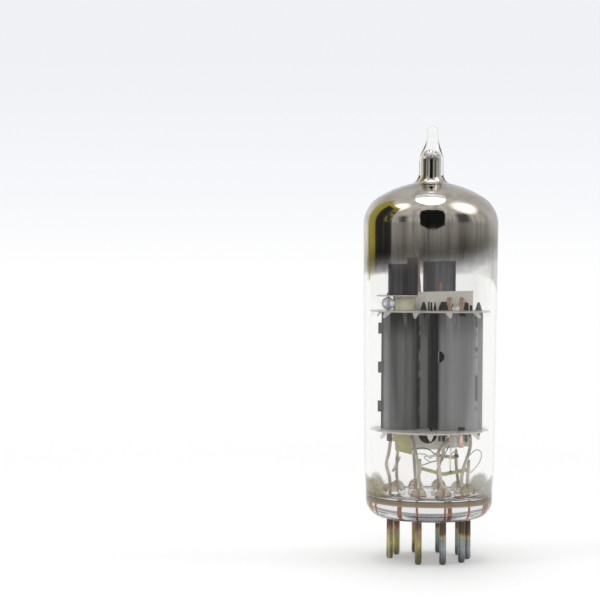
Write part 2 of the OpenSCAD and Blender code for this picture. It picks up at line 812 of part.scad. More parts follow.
pentode_half_line = let (
        half_w = (pentode_plate_w - sheet_t) / 2,
        front = -(pentode_plate_d - sheet_t) / 2
    ) concat(
        [[pentode_x - half_w - flange_left, -sheet_t / 2], [pentode_x - half_w, -sheet_t / 2]],
        [[pentode_x - half_w, front + plate_corner]],
        arc([pentode_x - half_w + plate_corner, front + plate_corner], plate_corner, 180, 270, 6),
        [[pentode_x + half_w - plate_corner, front]],
        arc([pentode_x + half_w - plate_corner, front + plate_corner], plate_corner, 270, 360, 6),
        [[pentode_x + half_w, -sheet_t / 2], [pentode_x + half_w + flange_right, -sheet_t / 2]]);

module pentode_half() {
    difference() {
        union() {
            standing_sheet(pentode_half_line, sheet_t, plate_z, top_mica_z);
            ear_pair(flange_ear_x, -sheet_t, flange_ear_w, sheet_t);
            ear_pair(flange_left_ear_x, -sheet_t, flange_left_ear_w, sheet_t);
        }
        translate([window_x, plate_corner - pentode_plate_d / 2, window_z])
            rotate([90, 0, 0])
                cylinder(r = window_r, h = reach);
        for (z = [plate_z - notch_h, top_mica_z - notch_h])
            translate([notch_x - notch_w / 2, -reach, z])
                cube([notch_w, reach - over, 2 * notch_h]);
        for (k = [0:seam_slots - 1])
            translate([pentode_x + pentode_plate_w / 2 + slack, -over,
                plate_z + plate_h * (k + 0.5) / seam_slots - seam_slot_h / 2])
                cube([seam_slot_w, 2 * over, seam_slot_h]);
    }
}

module pentode_plate_front() {
    color("gray")
        pentode_half();
}

module pentode_plate_rear() {
    color("gray") {
        mirror([0, 1, 0])
            pentode_half();
        for (e = wall_ears)
            ear_pair(pentode_x + e[0], pentode_plate_d / 2 - sheet_t, e[1], sheet_t);
    }
}

module pentode_cathode() {
    color("lightgray")
        translate([pentode_x, 0, cathode_low_z])
            linear_extrude(cathode_top_z - cathode_low_z)
                difference() {
                    oval(pentode_cathode_x, pentode_cathode_r);
                    oval(pentode_cathode_x, pentode_cathode_r - cathode_wall);
                }
}

module pentode_heater() {
    color("white")
        wire(heater_path(pentode_x, pentode_strands, pentode_heater_low_z, pentode_leg_in, pentode_leg_out),
            heater_r, thin_sides);
}

// Flattened end of a control grid rod
module flat_end(low, high) {
    translate([0, 0, low])
        linear_extrude(high - low)
            oval(flat_end_x, flat_end_r);
}

module control_grid_rods() {
    color("sandybrown")
        for (side = [-1, 1])
            translate([pentode_x + side * control_grid_rod_x, 0, 0]) {
                translate([0, 0, cathode_low_z - lap])
                    cylinder(r = control_grid_rod_r, h = cathode_top_z - cathode_low_z + 2 * lap);
                flat_end(cathode_top_z + slack, rod_top_z);
                flat_end(rod_low_z - (side > 0 ? control_rod_drop : 0), cathode_low_z - slack);
            }
}

module control_grid_winding() {
    color("gold")
        wire(control_winding, grid_wire_r, winding_sides);
}

module screen_grid_rods() {
    color("silver")
        side_rods(pentode_x, screen_grid_rod_x, screen_grid_rod_r, rod_low_z, rod_top_z - screen_rod_cut);
}

module screen_grid_winding() {
    color("gold")
        wire(screen_winding, grid_wire_r, winding_sides);
}

module suppressor_grid_rods() {
    color("silver")
        side_rods(pentode_x, suppressor_grid_rod_x, suppressor_grid_rod_r,
            rod_low_z, rod_top_z - suppressor_rod_cut);
}

module suppressor_grid_winding() {
    color("gold")
        wire(suppressor_winding, grid_wire_r, winding_sides);
}

// Screens

module section_shield() {
    color("dimgray") {
        translate([-sheet_t / 2, -section_depth / 2, plate_z])
            cube([sheet_t, section_depth, plate_h]);
        for (side = [-1, 1])
            translate([sheet_t / 2, side * section_ear_y, 0])
                rotate([0, 0, 90])
                    ear_pair(0, 0, section_ear_w, sheet_t);
        translate([-sheet_t / 2, section_foot_y[0], section_foot_z])
            cube([sheet_t, section_foot_y[1] - section_foot_y[0], plate_z - section_foot_z + root]);
        translate([section_foot_x, section_foot_y[0], section_foot_z])
            rotate([-90, 0, 0])
                linear_extrude(sheet_t)
                    difference() {
                        circle(r = section_foot_r);
                        translate([-reach, -2 * reach])
                            square([2 * reach, 2 * reach]);
                    }
    }
}

module top_shield() {
    color("lightgray")
        difference() {
            union() {
                standing_sheet(top_shield_plan, sheet_t, deck_z, deck_z + top_shield_h);
                for (x = top_shield_ear_xs)
                    translate([x - shield_ear_w / 2, shield_y - sheet_t / 2, top_mica_z])
                        cube([shield_ear_w, sheet_t, mica_t + root]);
            }
            translate([top_shield_plan[0][0], 0, deck_z + top_shield_h - top_shield_drop])
                rotate([0, -top_shield_slope, 0])
                    translate([-over, 0, 0])
                        cube([reach, 2 * shield_y, shield_cut_h]);
        }
}

module bottom_shield() {
    low_z = bottom_mica_z - bottom_shield_h;
    color("lightgray")
        difference() {
            union() {
                standing_sheet(bottom_shield_plan, sheet_t, low_z, bottom_mica_z);
                for (x = bottom_shield_ear_xs)
                    translate([x - shield_ear_w / 2, shield_y - sheet_t / 2, bottom_mica_z - root])
                        cube([shield_ear_w, sheet_t, mica_t + root]);
            }
            translate([bottom_shield_cut_x, 0, low_z])
                rotate([0, -bottom_shield_slope, 0])
                    translate([0, 0, -shield_cut_h])
                        cube([reach, 2 * shield_y, shield_cut_h]);
        }
}

// Fins, posts and getter

module radiator_left() {
    color([0.12, 0.12, 0.13]) {
        standing_sheet(fin_left_plan, fin_t, fin_left_low_z, fin_top_z);
        standing_sheet(fin_strip_plan, fin_t, fin_left_low_z, fin_top_z + fin_strip_extra);
    }
}

module radiator_right() {
    color([0.16, 0.16, 0.17])
        standing_sheet(fin_right_plan, fin_t, fin_right_low_z, fin_right_top_z);
}

module radiator_posts() {
    color("sandybrown") {
        wire([
            [post_feet[0][0], post_feet[0][1], top_mica_z],
            [post_feet[0][0], post_feet[0][1], post_lean_z],
            [getter_post_top[0], getter_post_top[1], getter_z - post_end_h],
            [getter_post_top[0], getter_post_top[1], getter_z]
        ], post_r, post_sides);
        translate([post_feet[1][0], post_feet[1][1], top_mica_z])
            cylinder(r = post_r, h = fin_post_top_z - top_mica_z);
    }
}

module getter_ring() {
    color("silver")
        translate([getter_centre[0], getter_centre[1], getter_z])
            rotate_extrude()
                translate([getter_r - getter_w / 2, 0])
                    difference() {
                        square([getter_w, getter_h]);
                        translate([getter_wall, getter_wall])
                            square([getter_w - 2 * getter_wall, getter_h]);
                    }
}

module collar() {
    color("silver")
        translate([collar_x, 0, deck_z])
            linear_extrude(small_mica_z - deck_z)
                intersection() {
                    difference() {
                        circle(r = collar_r);
                        circle(r = collar_r - collar_t);
                    }
                    polygon([[0, 0], for (a = collar_angles) 3 * collar_r * [cos(a), sin(a)]]);
                }
}

module glass_bead() {
    color("lightcyan")
        translate([bead_at[0], bead_at[1], (deck_z + small_mica_z) / 2])
            difference() {
                sphere(r = bead_r);
                translate([0, 0, -reach])
                    cylinder(r = bead_pin_r, h = 2 * reach);
            }
}

module bead_pin() {
    color("silver")
        translate([bead_at[0], bead_at[1], top_mica_z - bead_pin_over])
            cylinder(r = bead_pin_r, h = small_mica_z + small_mica_t - top_mica_z + 2 * bead_pin_over);
}

// Below the lower mica

module cathode_flag() {
    color("darkkhaki")
        translate([0, flag_y + flag_t / 2, 0])
            rotate([90, 0, 0])
                linear_extrude(flag_t)
                    polygon(flag_outline);
}

module cathode_link() {
    low_y = pentode_cathode_r;
    color("silver")
        translate([pentode_x + link_x - link_w / 2, low_y, link_z])
            cube([link_w, shield_y - sheet_t / 2 - low_y, link_t]);
}

// Flat strip on edge along the line p, with one straight piece for each step
module strap(p) {
    for (i = [0:len(p) - 2]) {
        step = p[i + 1] - p[i];
        run = norm([step[0], step[1]]);
        translate(p[i])
            rotate([0, 0, atan2(step[1], step[0])])
                rotate([0, -atan2(step[2], run), 0])
                    translate([0, -strap_t / 2, -strap_h / 2])
                        cube([norm(step), strap_t, strap_h]);
    }
}

module heater_strap_upper() {
    color("darkkhaki")
        strap(strap_upper_line);
}

module heater_strap_lower() {
    color("darkkhaki")
        strap(strap_lower_line);
}

module heater_stub() {
    color("darkgray")
        translate([stub_at[0], stub_at[1], stub_low_z])
            cylinder(r = stub_wire_r, h = stub_wire_top_z - stub_low_z);
}

module heater_loop() {
    color("silver")
        wire(smooth(loop_route, 4), loop_r, thin_sides);
}

module lead_spur() {
    color("dimgray")
        wire(spur_line, spur_r);
}

bulb();
button_stem();
getter_flash();
dumet_seals();
for (n = [1:pin_count]) base_pin(n);
for (n = [1:pin_count]) lead(n);
bottom_mica();
top_mica();
radiator_mica();
triode_plate_front();
triode_plate_rear();
triode_cathode();
triode_heater();
triode_grid_rods();
triode_grid_winding();
pentode_plate_front();
pentode_plate_rear();
pentode_cathode();
pentode_heater();
control_grid_rods();
control_grid_winding();
screen_grid_rods();
screen_grid_winding();
suppressor_grid_rods();
suppressor_grid_winding();
section_shield();
top_shield();
bottom_shield();
radiator_left();
radiator_right();
radiator_posts();
getter_ring();
collar();
glass_bead();
bead_pin();
cathode_flag();
cathode_link();
heater_strap_upper();
heater_strap_lower();
heater_stub();
heater_loop();
lead_spur();
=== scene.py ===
import math

import bpy
import numpy as np
from mathutils import Matrix, Vector


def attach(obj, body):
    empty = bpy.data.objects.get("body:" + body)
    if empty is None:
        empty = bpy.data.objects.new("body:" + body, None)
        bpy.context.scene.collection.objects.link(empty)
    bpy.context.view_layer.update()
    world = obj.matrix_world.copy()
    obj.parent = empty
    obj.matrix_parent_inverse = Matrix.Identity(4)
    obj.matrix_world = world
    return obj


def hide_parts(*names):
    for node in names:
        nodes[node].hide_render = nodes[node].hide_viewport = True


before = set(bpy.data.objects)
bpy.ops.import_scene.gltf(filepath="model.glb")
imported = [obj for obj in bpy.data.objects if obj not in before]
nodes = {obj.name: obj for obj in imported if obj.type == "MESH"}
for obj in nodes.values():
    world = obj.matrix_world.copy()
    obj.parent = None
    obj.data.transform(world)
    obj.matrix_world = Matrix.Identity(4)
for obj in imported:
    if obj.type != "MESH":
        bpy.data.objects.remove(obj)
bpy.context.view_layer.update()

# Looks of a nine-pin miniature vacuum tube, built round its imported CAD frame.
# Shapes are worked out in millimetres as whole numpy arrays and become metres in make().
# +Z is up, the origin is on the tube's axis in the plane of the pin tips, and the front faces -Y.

MM = 0.001
SHARP_ANGLE = 35
UP = (0, 0, 1)
WIRE_LEAN = (0.87, -0.42, 0.26)

# Glass sizes, as in the part's source but for higher bosses, a narrower bore and a leaning nipple
OVERALL_H = 66.4
BULB_R = 10.32
BASE_R = 9.7
WAIST_R = 9.97
WALL_T = 0.9
BASE_ROUND = 2.75
SHOULDER_ROUND = 5.0
CROWN_ROUND = 14.8
CROWN_Z = 43.1
TIP_R = 1.9
BORE_R = 0.97
NECK_ROUND = 1.6
NIPPLE_R = 0.92
NIPPLE_TOP_R = 0.84
TIP_SHOULDER_Z = 61.0
BORE_DOME_Z = 61.6
NIPPLE_Z = 64.6
NIPPLE_LEAN = 0.2
NIPPLE_TOP_Z = 65.7
SEAT_Z = 6.5
FLOOR_Z = 9.9
FLOOR_ROUND = 0.5
SEAL_Z = FLOOR_Z + FLOOR_ROUND
FLARE_Z = 15.0
CORNER_ROUND = 1.0
CORNER_Z = FLOOR_Z + CORNER_ROUND
FIT = 0.9993
BULB_SIDES = 240
FILM_SIDES = 180
SHOULDER_X = BULB_R - SHOULDER_ROUND
SHOULDER_Z = CROWN_Z + math.sqrt((CROWN_ROUND - SHOULDER_ROUND) ** 2 - SHOULDER_X ** 2)
SHOULDER_ANGLE = math.degrees(math.atan2(SHOULDER_Z - CROWN_Z, SHOULDER_X))
FLASH_LOW_Z = 43.4
BOSS_H = 1.6
BOSS_R = 1.2
BOSS_CAP_H = 1.8
BOSS_CAP_R = 1.3
BOSS_CAP_Z = FLOOR_Z - 0.06
SEAM_OUT_R = 9.22
SEAM_IN_R = 9.1
SEAM_LOW_Z = 9.02
SIDE_SHADE_TOP_Z = 13.6

# Pins and leads
PIN_COUNT = 9
PIN_STEP = 36
FIRST_PIN_ANGLE = -19.4
PIN_CIRCLE_R = 5.945
PIN_R = 0.508
PIN_TIP_FLAT_R = 0.2
PIN_TIP_H = 0.4
PIN_TOP_Z = 6.6
PIN_BEVEL = 0.04
SEAL_R = 0.16
LEAD_R = 0.25
LEAD_Z = 10.9
LEAD_FREE_Z = 11.5

# Micas and electrodes
BOTTOM_MICA_Z = 19.75
PLATE_Z = 20.0
TOP_MICA_Z = 37.95
DECK_Z = 38.2
SHEET_T = 0.2
SHEET_LAP = 0.1
TRIODE_X = -4.45
TRIODE_R = 2.75
TRIODE_WING_RIGHT = -0.35
TRIODE_WING_LEFT = -7.45
TRIODE_BEND = 0.12
TRIODE_LUG_LEFT = -7.95
TRIODE_LUG_H = 1.7
TRIODE_LUG_RISE = 0.45
TRIODE_EAR_X = -1.0
TRIODE_TAB_ANGLE = 230
TRIODE_TAB_SPREAD = 9
TAB_DROP = 1.5
EAR_W = 1.0
EAR_H = 1.5
EAR_NECK = 0.35
EAR_TAPER = 0.35
EAR_TAPER_MOST = 0.4
PENTODE_X = 3.95
ROD_LOW_Z = BOTTOM_MICA_Z - 1.75
ROD_MID_Z = 28
ROD_TOP_Z = DECK_Z + 2
TRIODE_ROD_OUT = 1.0
TRIODE_ROD_R = 0.25
TRIODE_ROD_TOP_Z = 44.6
CONTROL_ROD_OUT = 0.98
CONTROL_ROD_R = 0.28
CONTROL_ROD_DROP = 0.9
BLADE_W = 0.42
BLADE_D = 0.22
BLADE_TRIM = 0.86
BLADE_END = 0.05
BLADE_NECK = 0.15
SCREEN_ROD_OUT = 1.74
SCREEN_ROD_R = 0.24
SUPPRESSOR_ROD_OUT = 2.36
SUPPRESSOR_ROD_R = 0.2
WINDING_LOW_Z = PLATE_Z + 0.8
WINDING_TOP_Z = TOP_MICA_Z - 0.75
GRID_WIRE_R = 0.06
CATHODE_LOW_Z = BOTTOM_MICA_Z - 0.85
CATHODE_TOP_Z = DECK_Z + 0.6
CATHODE_WALL = 0.1
TRIODE_CATHODE_R = 0.62
PENTODE_CATHODE_R = 0.45
PENTODE_CATHODE_FLAT = 0.2
HEATER_R = 0.1
TRIODE_HEATER_LOW_Z = PLATE_Z + 0.6
PENTODE_HEATER_LOW_Z = 17.5
HEATER_TOP_Z = TOP_MICA_Z - 0.3
HEATER_EXIT_Z = CATHODE_LOW_Z - 0.1

# Fins, screens and what stands on the upper mica
SHIELD_Y = 4.4
UPPER_SCREEN_PLAN = [[-2.3, 1.9], [-0.3, SHIELD_Y], [7.25, SHIELD_Y]]
UPPER_SCREEN_H = 2.75
UPPER_SCREEN_MOST_H = 3
UPPER_SCREEN_SLOPE = math.tan(math.radians(1.6))
UPPER_SCREEN_SLOPE_X = -1.9
LOWER_SCREEN_BEND_X = 1.27
LOWER_SCREEN_PLAN = [
    [-2.6, 3.6], [-2.4, SHIELD_Y], [LOWER_SCREEN_BEND_X, SHIELD_Y], [6.1, SHIELD_Y], [6.9, 3.4],
]
LOWER_SCREEN_H = 3.4
LOWER_SCREEN_SLOPE = math.tan(math.radians(6))
FIN_T = 0.25
FIN_TOP_Z = 45.3
FIN_STRIP_TOP_Z = 46.3
FIN_RIGHT_TOP_Z = 45.8
FIN_LEFT_LOW_Z = 40.5
FIN_RIGHT_LOW_Z = DECK_Z + 1.4
FIN_LEFT_Y = -0.375
FIN_STRIP_Y = FIN_LEFT_Y - 0.4
LEFT_FIN_PLAN = [[-6.35, 0.4], [-5.9, FIN_LEFT_Y], [-3.4, FIN_LEFT_Y]]
FIN_STRIP_PLAN = [[-3.5, FIN_LEFT_Y], [-3.2, FIN_STRIP_Y], [-1.95, FIN_STRIP_Y]]
RIGHT_FIN_PLAN = [[-0.59, 6.3], [0.14, 5.6], [2.06, 5.42], [4.53, 6.2]]
SMALL_MICA_Z = 40.3
GETTER_Z = 49.3
GETTER_AT = (-0.7, 3.9)
GETTER_R = 1.45
GETTER_W = 0.9
GETTER_H = 0.7
GETTER_WALL = 0.15
POST_R = 0.27
GETTER_POST_FOOT = (-1.28, 5.0)
GETTER_POST_TOP = (-1.95, 4.6)
FIN_POST_FOOT = (1.95, 5.0)
FIN_POST_TOP_Z = 42.6
COLLAR_X = -3.87
COLLAR_R = 1.7
COLLAR_T = 0.15
BEAD_AT = (-6.5, -2.4)
BEAD_R = 0.96
BEAD_HALF_H = 0.93
BEAD_PIN_R = 0.2

# Below the lower mica
STRAP_H = 0.55
STRAP_T = 0.15
FLAG_Y = -0.7
LINK_X = PENTODE_X + 0.42
LINK_HALF_W = 0.175
LINK_Z = BOTTOM_MICA_Z - 0.475
STUB_AT = (-1.5, -1.2)
SPUR_R = 0.2
LOOP_R = 0.08
TAIL_R = 0.075
KNOT_R = 0.08
KNOT_PITCH = 0.16

# Routes of the bent wires, as in the part's source, with the loose tails added
LEAD_ROUTES = [
    [[-1.9, -5.4, 13], [-2.05, -4.1, 15.2], [-2.3, -2.2, 17], [-2.45, -0.9, 18], [-2.55, -0.4, 18.5],
     [-2.95, 0, 18.9]],
    [[1.35, -5.45, 12.6], [1.12, -4.9, 14.4], [1, -4.3, 16], [1.2, -3.4, 16.9], [1.95, -2, 17.6],
     [2.75, -0.8, 18.2], [2.95, -0.5, 18.6]],
    [[4.6, -3.45, 12.6], [4.95, -2.9, 14.2], [5.9, -1.5, 16.4], [6.28, -0.66, 17.6], [6.31, -0.5, 18.3],
     [6.31, -0.48, 18.9]],
    [[6, 0, 12.6], [6.08, 0.05, 14], [6.15, 0.1, 15.3]],
    [[4.72, 3.49, 12.8], [4.56, 3.45, 14.5], [4.55, 3.45, 16.5]],
    [[1.85, 5.3, 12.8], [2, 4.1, 14.2], [2.2, 1.4, 15.4], [2.21, 0.2, 16.6], [2.21, 0, 17.4],
     [2.21, 0, 17.98]],
    [[-1.85, 5.6, 13], [-2, 5.2, 15], [-2.05, 4.8, 16.8], [-2.05, 4.78, 18.6]],
    [[-4.85, 3.2, 12.8], [-4.9, 1.5, 14.8], [-4.85, 0, 16.2], [-4.8, -0.36, 17.2]],
    [[-6.1, -0.2, 12.7], [-6.55, -0.9, 14.6], [-6.2, -1.6, 16.6], [-5.91, -1.73, 18.9]],
]
TRIODE_STRANDS = [[-0.22, -0.22], [-0.22, 0.22], [0.22, 0.22], [0.22, -0.22]]
TRIODE_LEG_IN = [[1.8, 2.13, 15.6], [1.1, 1.9, 16.05], [0.4, 1.55, 15.3], [-0.5, 1.2, 15.9],
                 [-1.6, 0.6, 16.1], [-3, 0.25, 16.7], [-4.5, 0.1, 17.7]]
TRIODE_LEG_OUT = [[-4.15, -0.2, 18], [-3.7, -0.15, 17.3], [-2.6, -0.2, 16.6], [-1.76, -0.91, 15.3]]
PENTODE_STRANDS = [[-0.36, 0], [-0.12, 0], [0.12, 0], [0.36, 0]]
PENTODE_LEG_IN = [[3.2, -1, 13.5], [3.2, -0.7, 15.5], [3.4, -0.15, 17.5]]
PENTODE_LEG_OUT = [[4.25, 0.2, 17.6], [4.1, 0.5, 16.7], [3.6, 1.7, 15.9], [3.2, 2.66, 15.42]]
LOOP_ROUTE = [[6.28, 0.47, 15.8], [6.8, 0.5, 16.35], [7.5, 0.45, 16.75], [8.2, 0.35, 16.3],
              [8.05, 0.3, 15.2], [7.2, 0.3, 13.9], [6.35, 0.2, 13.2]]
SPUR_LINE = [[-4.5, 0.1, 15.6], [-4.98, 1.28, 14.35], [-5.45, 2.45, 13.1]]
HEATER_TAILS = [
    [[-2.9, 0.3, 16.75], [-0.9, 1.2, 16.9], [0.3, 1.5, 16.5], [1, 1.9, 15.9], [1.7, 2.2, 15.65]],
    [[-1.42, -1.05, 14.3], [-0.87, 0.2, 14.4], [0.4, 1.2, 14.7], [1.16, 1.6, 14.87], [2.1, 2.4, 14.95]],
    [[3.03, -0.1, 17.3], [2.75, 0.9, 16.5], [2.3, 2.6, 15.2], [2.06, 3.5, 14.5]],
]
HEATER_HOOK = [[1.7, 2.2, 15.55], [1.32, 1.9, 15.6], [-0.35, 1.3, 15.6], [-0.64, 1.2, 15.45],
               [-0.3, 1.2, 15.1], [0.35, 1.2, 14.75]]
STRAP_UPPER = [[1.7, 2.3, 15.6], [2.6, 2.65, 15.5], [4.3, 3.26, 15.25]]
STRAP_LOWER = [[-1.5, -0.87, 14.05], [1.25, -1.35, 13.35], [2.1, -1.3, 13.15], [3.6, -1.1, 13.4],
               [5.8, -0.15, 13.75]]


# Surfaces

def quads(rows, cols, wrap_rows=False, wrap_cols=False):
    """Four-sided faces between neighbouring points of a rows x cols grid, numbered row by row."""
    i = np.arange(rows if wrap_rows else rows - 1)
    j = np.arange(cols if wrap_cols else cols - 1)
    a, b = (x.ravel() for x in np.meshgrid(i, j, indexing="ij"))
    up = (a + 1) % rows
    right = (b + 1) % cols
    return np.stack([a * cols + b, a * cols + right, up * cols + right, up * cols + b], 1)


def skin(rings, start=None, end=None):
    """Closed skin over rings: four-sided faces between them, and a fan to a middle point at each end."""
    rows, cols = rings.shape[:2]
    poles = [rings[0].mean(0) if start is None else start, rings[-1].mean(0) if end is None else end]
    points = np.concatenate([rings.reshape(-1, 3), poles])
    j = np.arange(cols)
    after = (j + 1) % cols
    foot = np.stack([np.full(cols, rows * cols), after, j], 1)
    last = (rows - 1) * cols
    head = np.stack([np.full(cols, rows * cols + 1), last + j, last + after], 1)
    return points, [quads(rows, cols, wrap_cols=True), foot, head]


def hoop(rings):
    """Skin over rings that come back to the first one, as round a doughnut."""
    rows, cols = rings.shape[:2]
    return rings.reshape(-1, 3), [quads(rows, cols, wrap_rows=True, wrap_cols=True)]


def leaf(grid, thickness):
    """Thin sheet: the grid moved half the thickness to both sides along its normals, with a rim of faces."""
    across = np.gradient(grid, axis=1)
    along = np.gradient(grid, axis=0)
    normal = np.cross(across, along)
    normal /= np.linalg.norm(normal, axis=2, keepdims=True)
    rows, cols = grid.shape[:2]
    front = quads(rows, cols)
    back = front[:, ::-1] + rows * cols
    i = np.arange(rows)
    j = np.arange(cols)
    edge = np.concatenate([j, i[1:] * cols + cols - 1, (rows - 1) * cols + j[::-1][1:], i[::-1][1:-1] * cols])
    after = np.roll(edge, -1)
    rim = np.stack([edge, edge + rows * cols, after + rows * cols, after], 1)
    points = np.concatenate([grid + normal * thickness / 2, grid - normal * thickness / 2]).reshape(-1, 3)
    return points, [front, back, rim]


def full_turn(count):
    """Angles of a full turn in equal steps."""
    return np.linspace(0, 2 * np.pi, count, endpoint=False)


def lathe(profile, segments):
    """Rings of a profile of radius and height turned round the Z axis."""
    a = full_turn(segments)
    r = profile[:, :1]
    z = np.broadcast_to(profile[:, 1:], (len(profile), segments))
    return np.stack([r * np.cos(a), r * np.sin(a), z], 2)


def arc(cx, cz, r, a0, a1, count):
    """Points of a circle about (cx, cz) from angle a0 to a1 in degrees."""
    a = np.radians(np.linspace(a0, a1, count))
    return np.stack([cx + r * np.cos(a), cz + r * np.sin(a)], 1)


def ease(t):
    """Smooth step from 0 to 1: 3 t squared less 2 t cubed."""
    t = np.clip(t, 0, 1)
    return t * t * (3 - 2 * t)


def flowing(points, steps=8):
    """Smooth curve through the points: cubics whose slope at a point is half the step across it."""
    p = np.asarray(points, float)
    a = np.concatenate([p[:1], p[:-2]])[:, None]
    b = p[:-1, None]
    c = p[1:, None]
    d = np.concatenate([p[2:], p[-1:]])[:, None]
    t = np.arange(steps)[None, :, None] / steps
    square = a - 2.5 * b + 2 * c - d / 2
    cube = 1.5 * (b - c) + (d - a) / 2
    curve = b + t * (c - a) / 2 + t ** 2 * square + t ** 3 * cube
    return np.concatenate([curve.reshape(-1, p.shape[1]), p[-1:]])


def rounded(points, r, steps=6):
    """Line with its inner corners cut by curves that start and end the length r from each corner."""
    p = np.asarray(points, float)
    inner = p[1:-1, None]
    t = np.linspace(0, 1, steps)[None, :, None]

    def towards(q):
        gap = np.linalg.norm(q - p[1:-1], axis=1, keepdims=True)
        return (p[1:-1] + (q - p[1:-1]) * np.minimum(r / gap, 0.5))[:, None]

    before = towards(p[:-2])
    after = towards(p[2:])
    bends = (1 - t) ** 2 * before + 2 * t * (1 - t) * inner + t ** 2 * after
    return np.concatenate([p[:1], bends.reshape(-1, p.shape[1]), p[-1:]])


def length_along(path):
    """Length of a line up to each of its points."""
    return np.concatenate([[0], np.cumsum(np.linalg.norm(np.diff(path, axis=0), axis=1))])


def spaced(path, places):
    """Points at the given lengths along a line."""
    length = length_along(path)
    return np.stack([np.interp(places, length, path[:, k]) for k in range(path.shape[1])], 1)


def wire(path, r, sides=14, blunt=0.7, lean=WIRE_LEAN):
    """Round wire: circles of radius r square to a path, closing in an elliptic end of blunt times r."""
    path = np.asarray(path, float)
    length = length_along(path)
    whole = length[-1]
    cap = blunt * r * (1 - np.cos(np.linspace(0, np.pi / 2, 5)))[1:]
    body = length[(length > cap[-1] * 1.5) & (length < whole - cap[-1] * 1.5)]
    places = np.concatenate([cap, body, whole - cap[::-1]])
    centre = spaced(path, places)
    along = np.gradient(centre, axis=0)
    along /= np.linalg.norm(along, axis=1, keepdims=True)
    across = np.asarray(lean) - along * (along @ np.asarray(lean))[:, None]
    across /= np.linalg.norm(across, axis=1, keepdims=True)
    third = np.cross(along, across)
    near = np.clip(np.minimum(places, whole - places) / (blunt * r), 0, 1)
    radius = r * np.sqrt(1 - (1 - near) ** 2)
    a = full_turn(sides)[None, :, None]
    circle = np.cos(a) * across[:, None] + np.sin(a) * third[:, None]
    rings = centre[:, None] + radius[:, None, None] * circle
    return skin(rings, path[0], path[-1])


def upright(plan, low, high, rows=2):
    """Grid of a sheet standing on a plan line, from the heights low to high, which may change along it."""
    plan = np.asarray(plan, float)
    low = np.broadcast_to(low, len(plan))
    high = np.broadcast_to(high, len(plan))
    v = np.linspace(0, 1, rows)[:, None]
    z = low + (high - low) * v
    return np.stack([np.broadcast_to(plan[:, 0], z.shape), np.broadcast_to(plan[:, 1], z.shape), z], 2)


def straight(x, y, *heights):
    """Upright line at one place, through the given heights."""
    return [[x, y, z] for z in heights]


def ear(x, y, w, base, tip):
    """Grid of a pointed ear: its half width is even up to the neck, then narrows straight to the tip."""
    share = np.array([0, EAR_NECK / EAR_H, 1])
    half = np.array([w / 2, w / 2, w / 2 - min(EAR_TAPER_MOST, w * EAR_TAPER)])
    side = np.array([-1, 1]) * math.copysign(1, tip - base)
    xs = x + half[:, None] * side
    z = np.broadcast_to((base + (tip - base) * share)[:, None], xs.shape)
    return np.stack([xs, np.full(xs.shape, y), z], 2)


def moved(part, x=0.0, y=0.0, z=0.0):
    """A part shifted by x, y and z."""
    points, faces = part
    return points + np.array([x, y, z]), faces


def ear_pair(x, y, w):
    """The same ear above the upper mica and below the lower one."""
    return [
        leaf(ear(x, y, w, TOP_MICA_Z - SHEET_LAP, TOP_MICA_Z + EAR_H), SHEET_T),
        leaf(ear(x, y, w, PLATE_Z + SHEET_LAP, PLATE_Z - EAR_H), SHEET_T),
    ]


# Pieces

def make(name, parts, finish, slot, *replaced):
    """One piece of the object from one or more parts, in metres, with its sharp edges kept crisp."""
    points = []
    faces = []
    count = 0
    for part_points, part_faces in parts:
        points.append(part_points)
        for group in part_faces:
            faces.extend((group + count).tolist())
        count += len(part_points)
    mesh = bpy.data.meshes.new(name)
    mesh.from_pydata((np.concatenate(points) * MM).tolist(), [], faces)
    mesh.polygons.foreach_set("use_smooth", np.ones(len(faces), bool))
    mesh.set_sharp_from_angle(angle=math.radians(SHARP_ANGLE))
    mesh.materials.append(finish)
    mesh.update()
    piece = bpy.data.objects.new(name, mesh)
    bpy.context.scene.collection.objects.link(piece)
    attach(piece, "root")
    if replaced:
        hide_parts(*replaced)


def dress(node, finish):
    """Gives a CAD node that stays its material."""
    for place in nodes[node].material_slots:
        place.material = finish


# Finishes

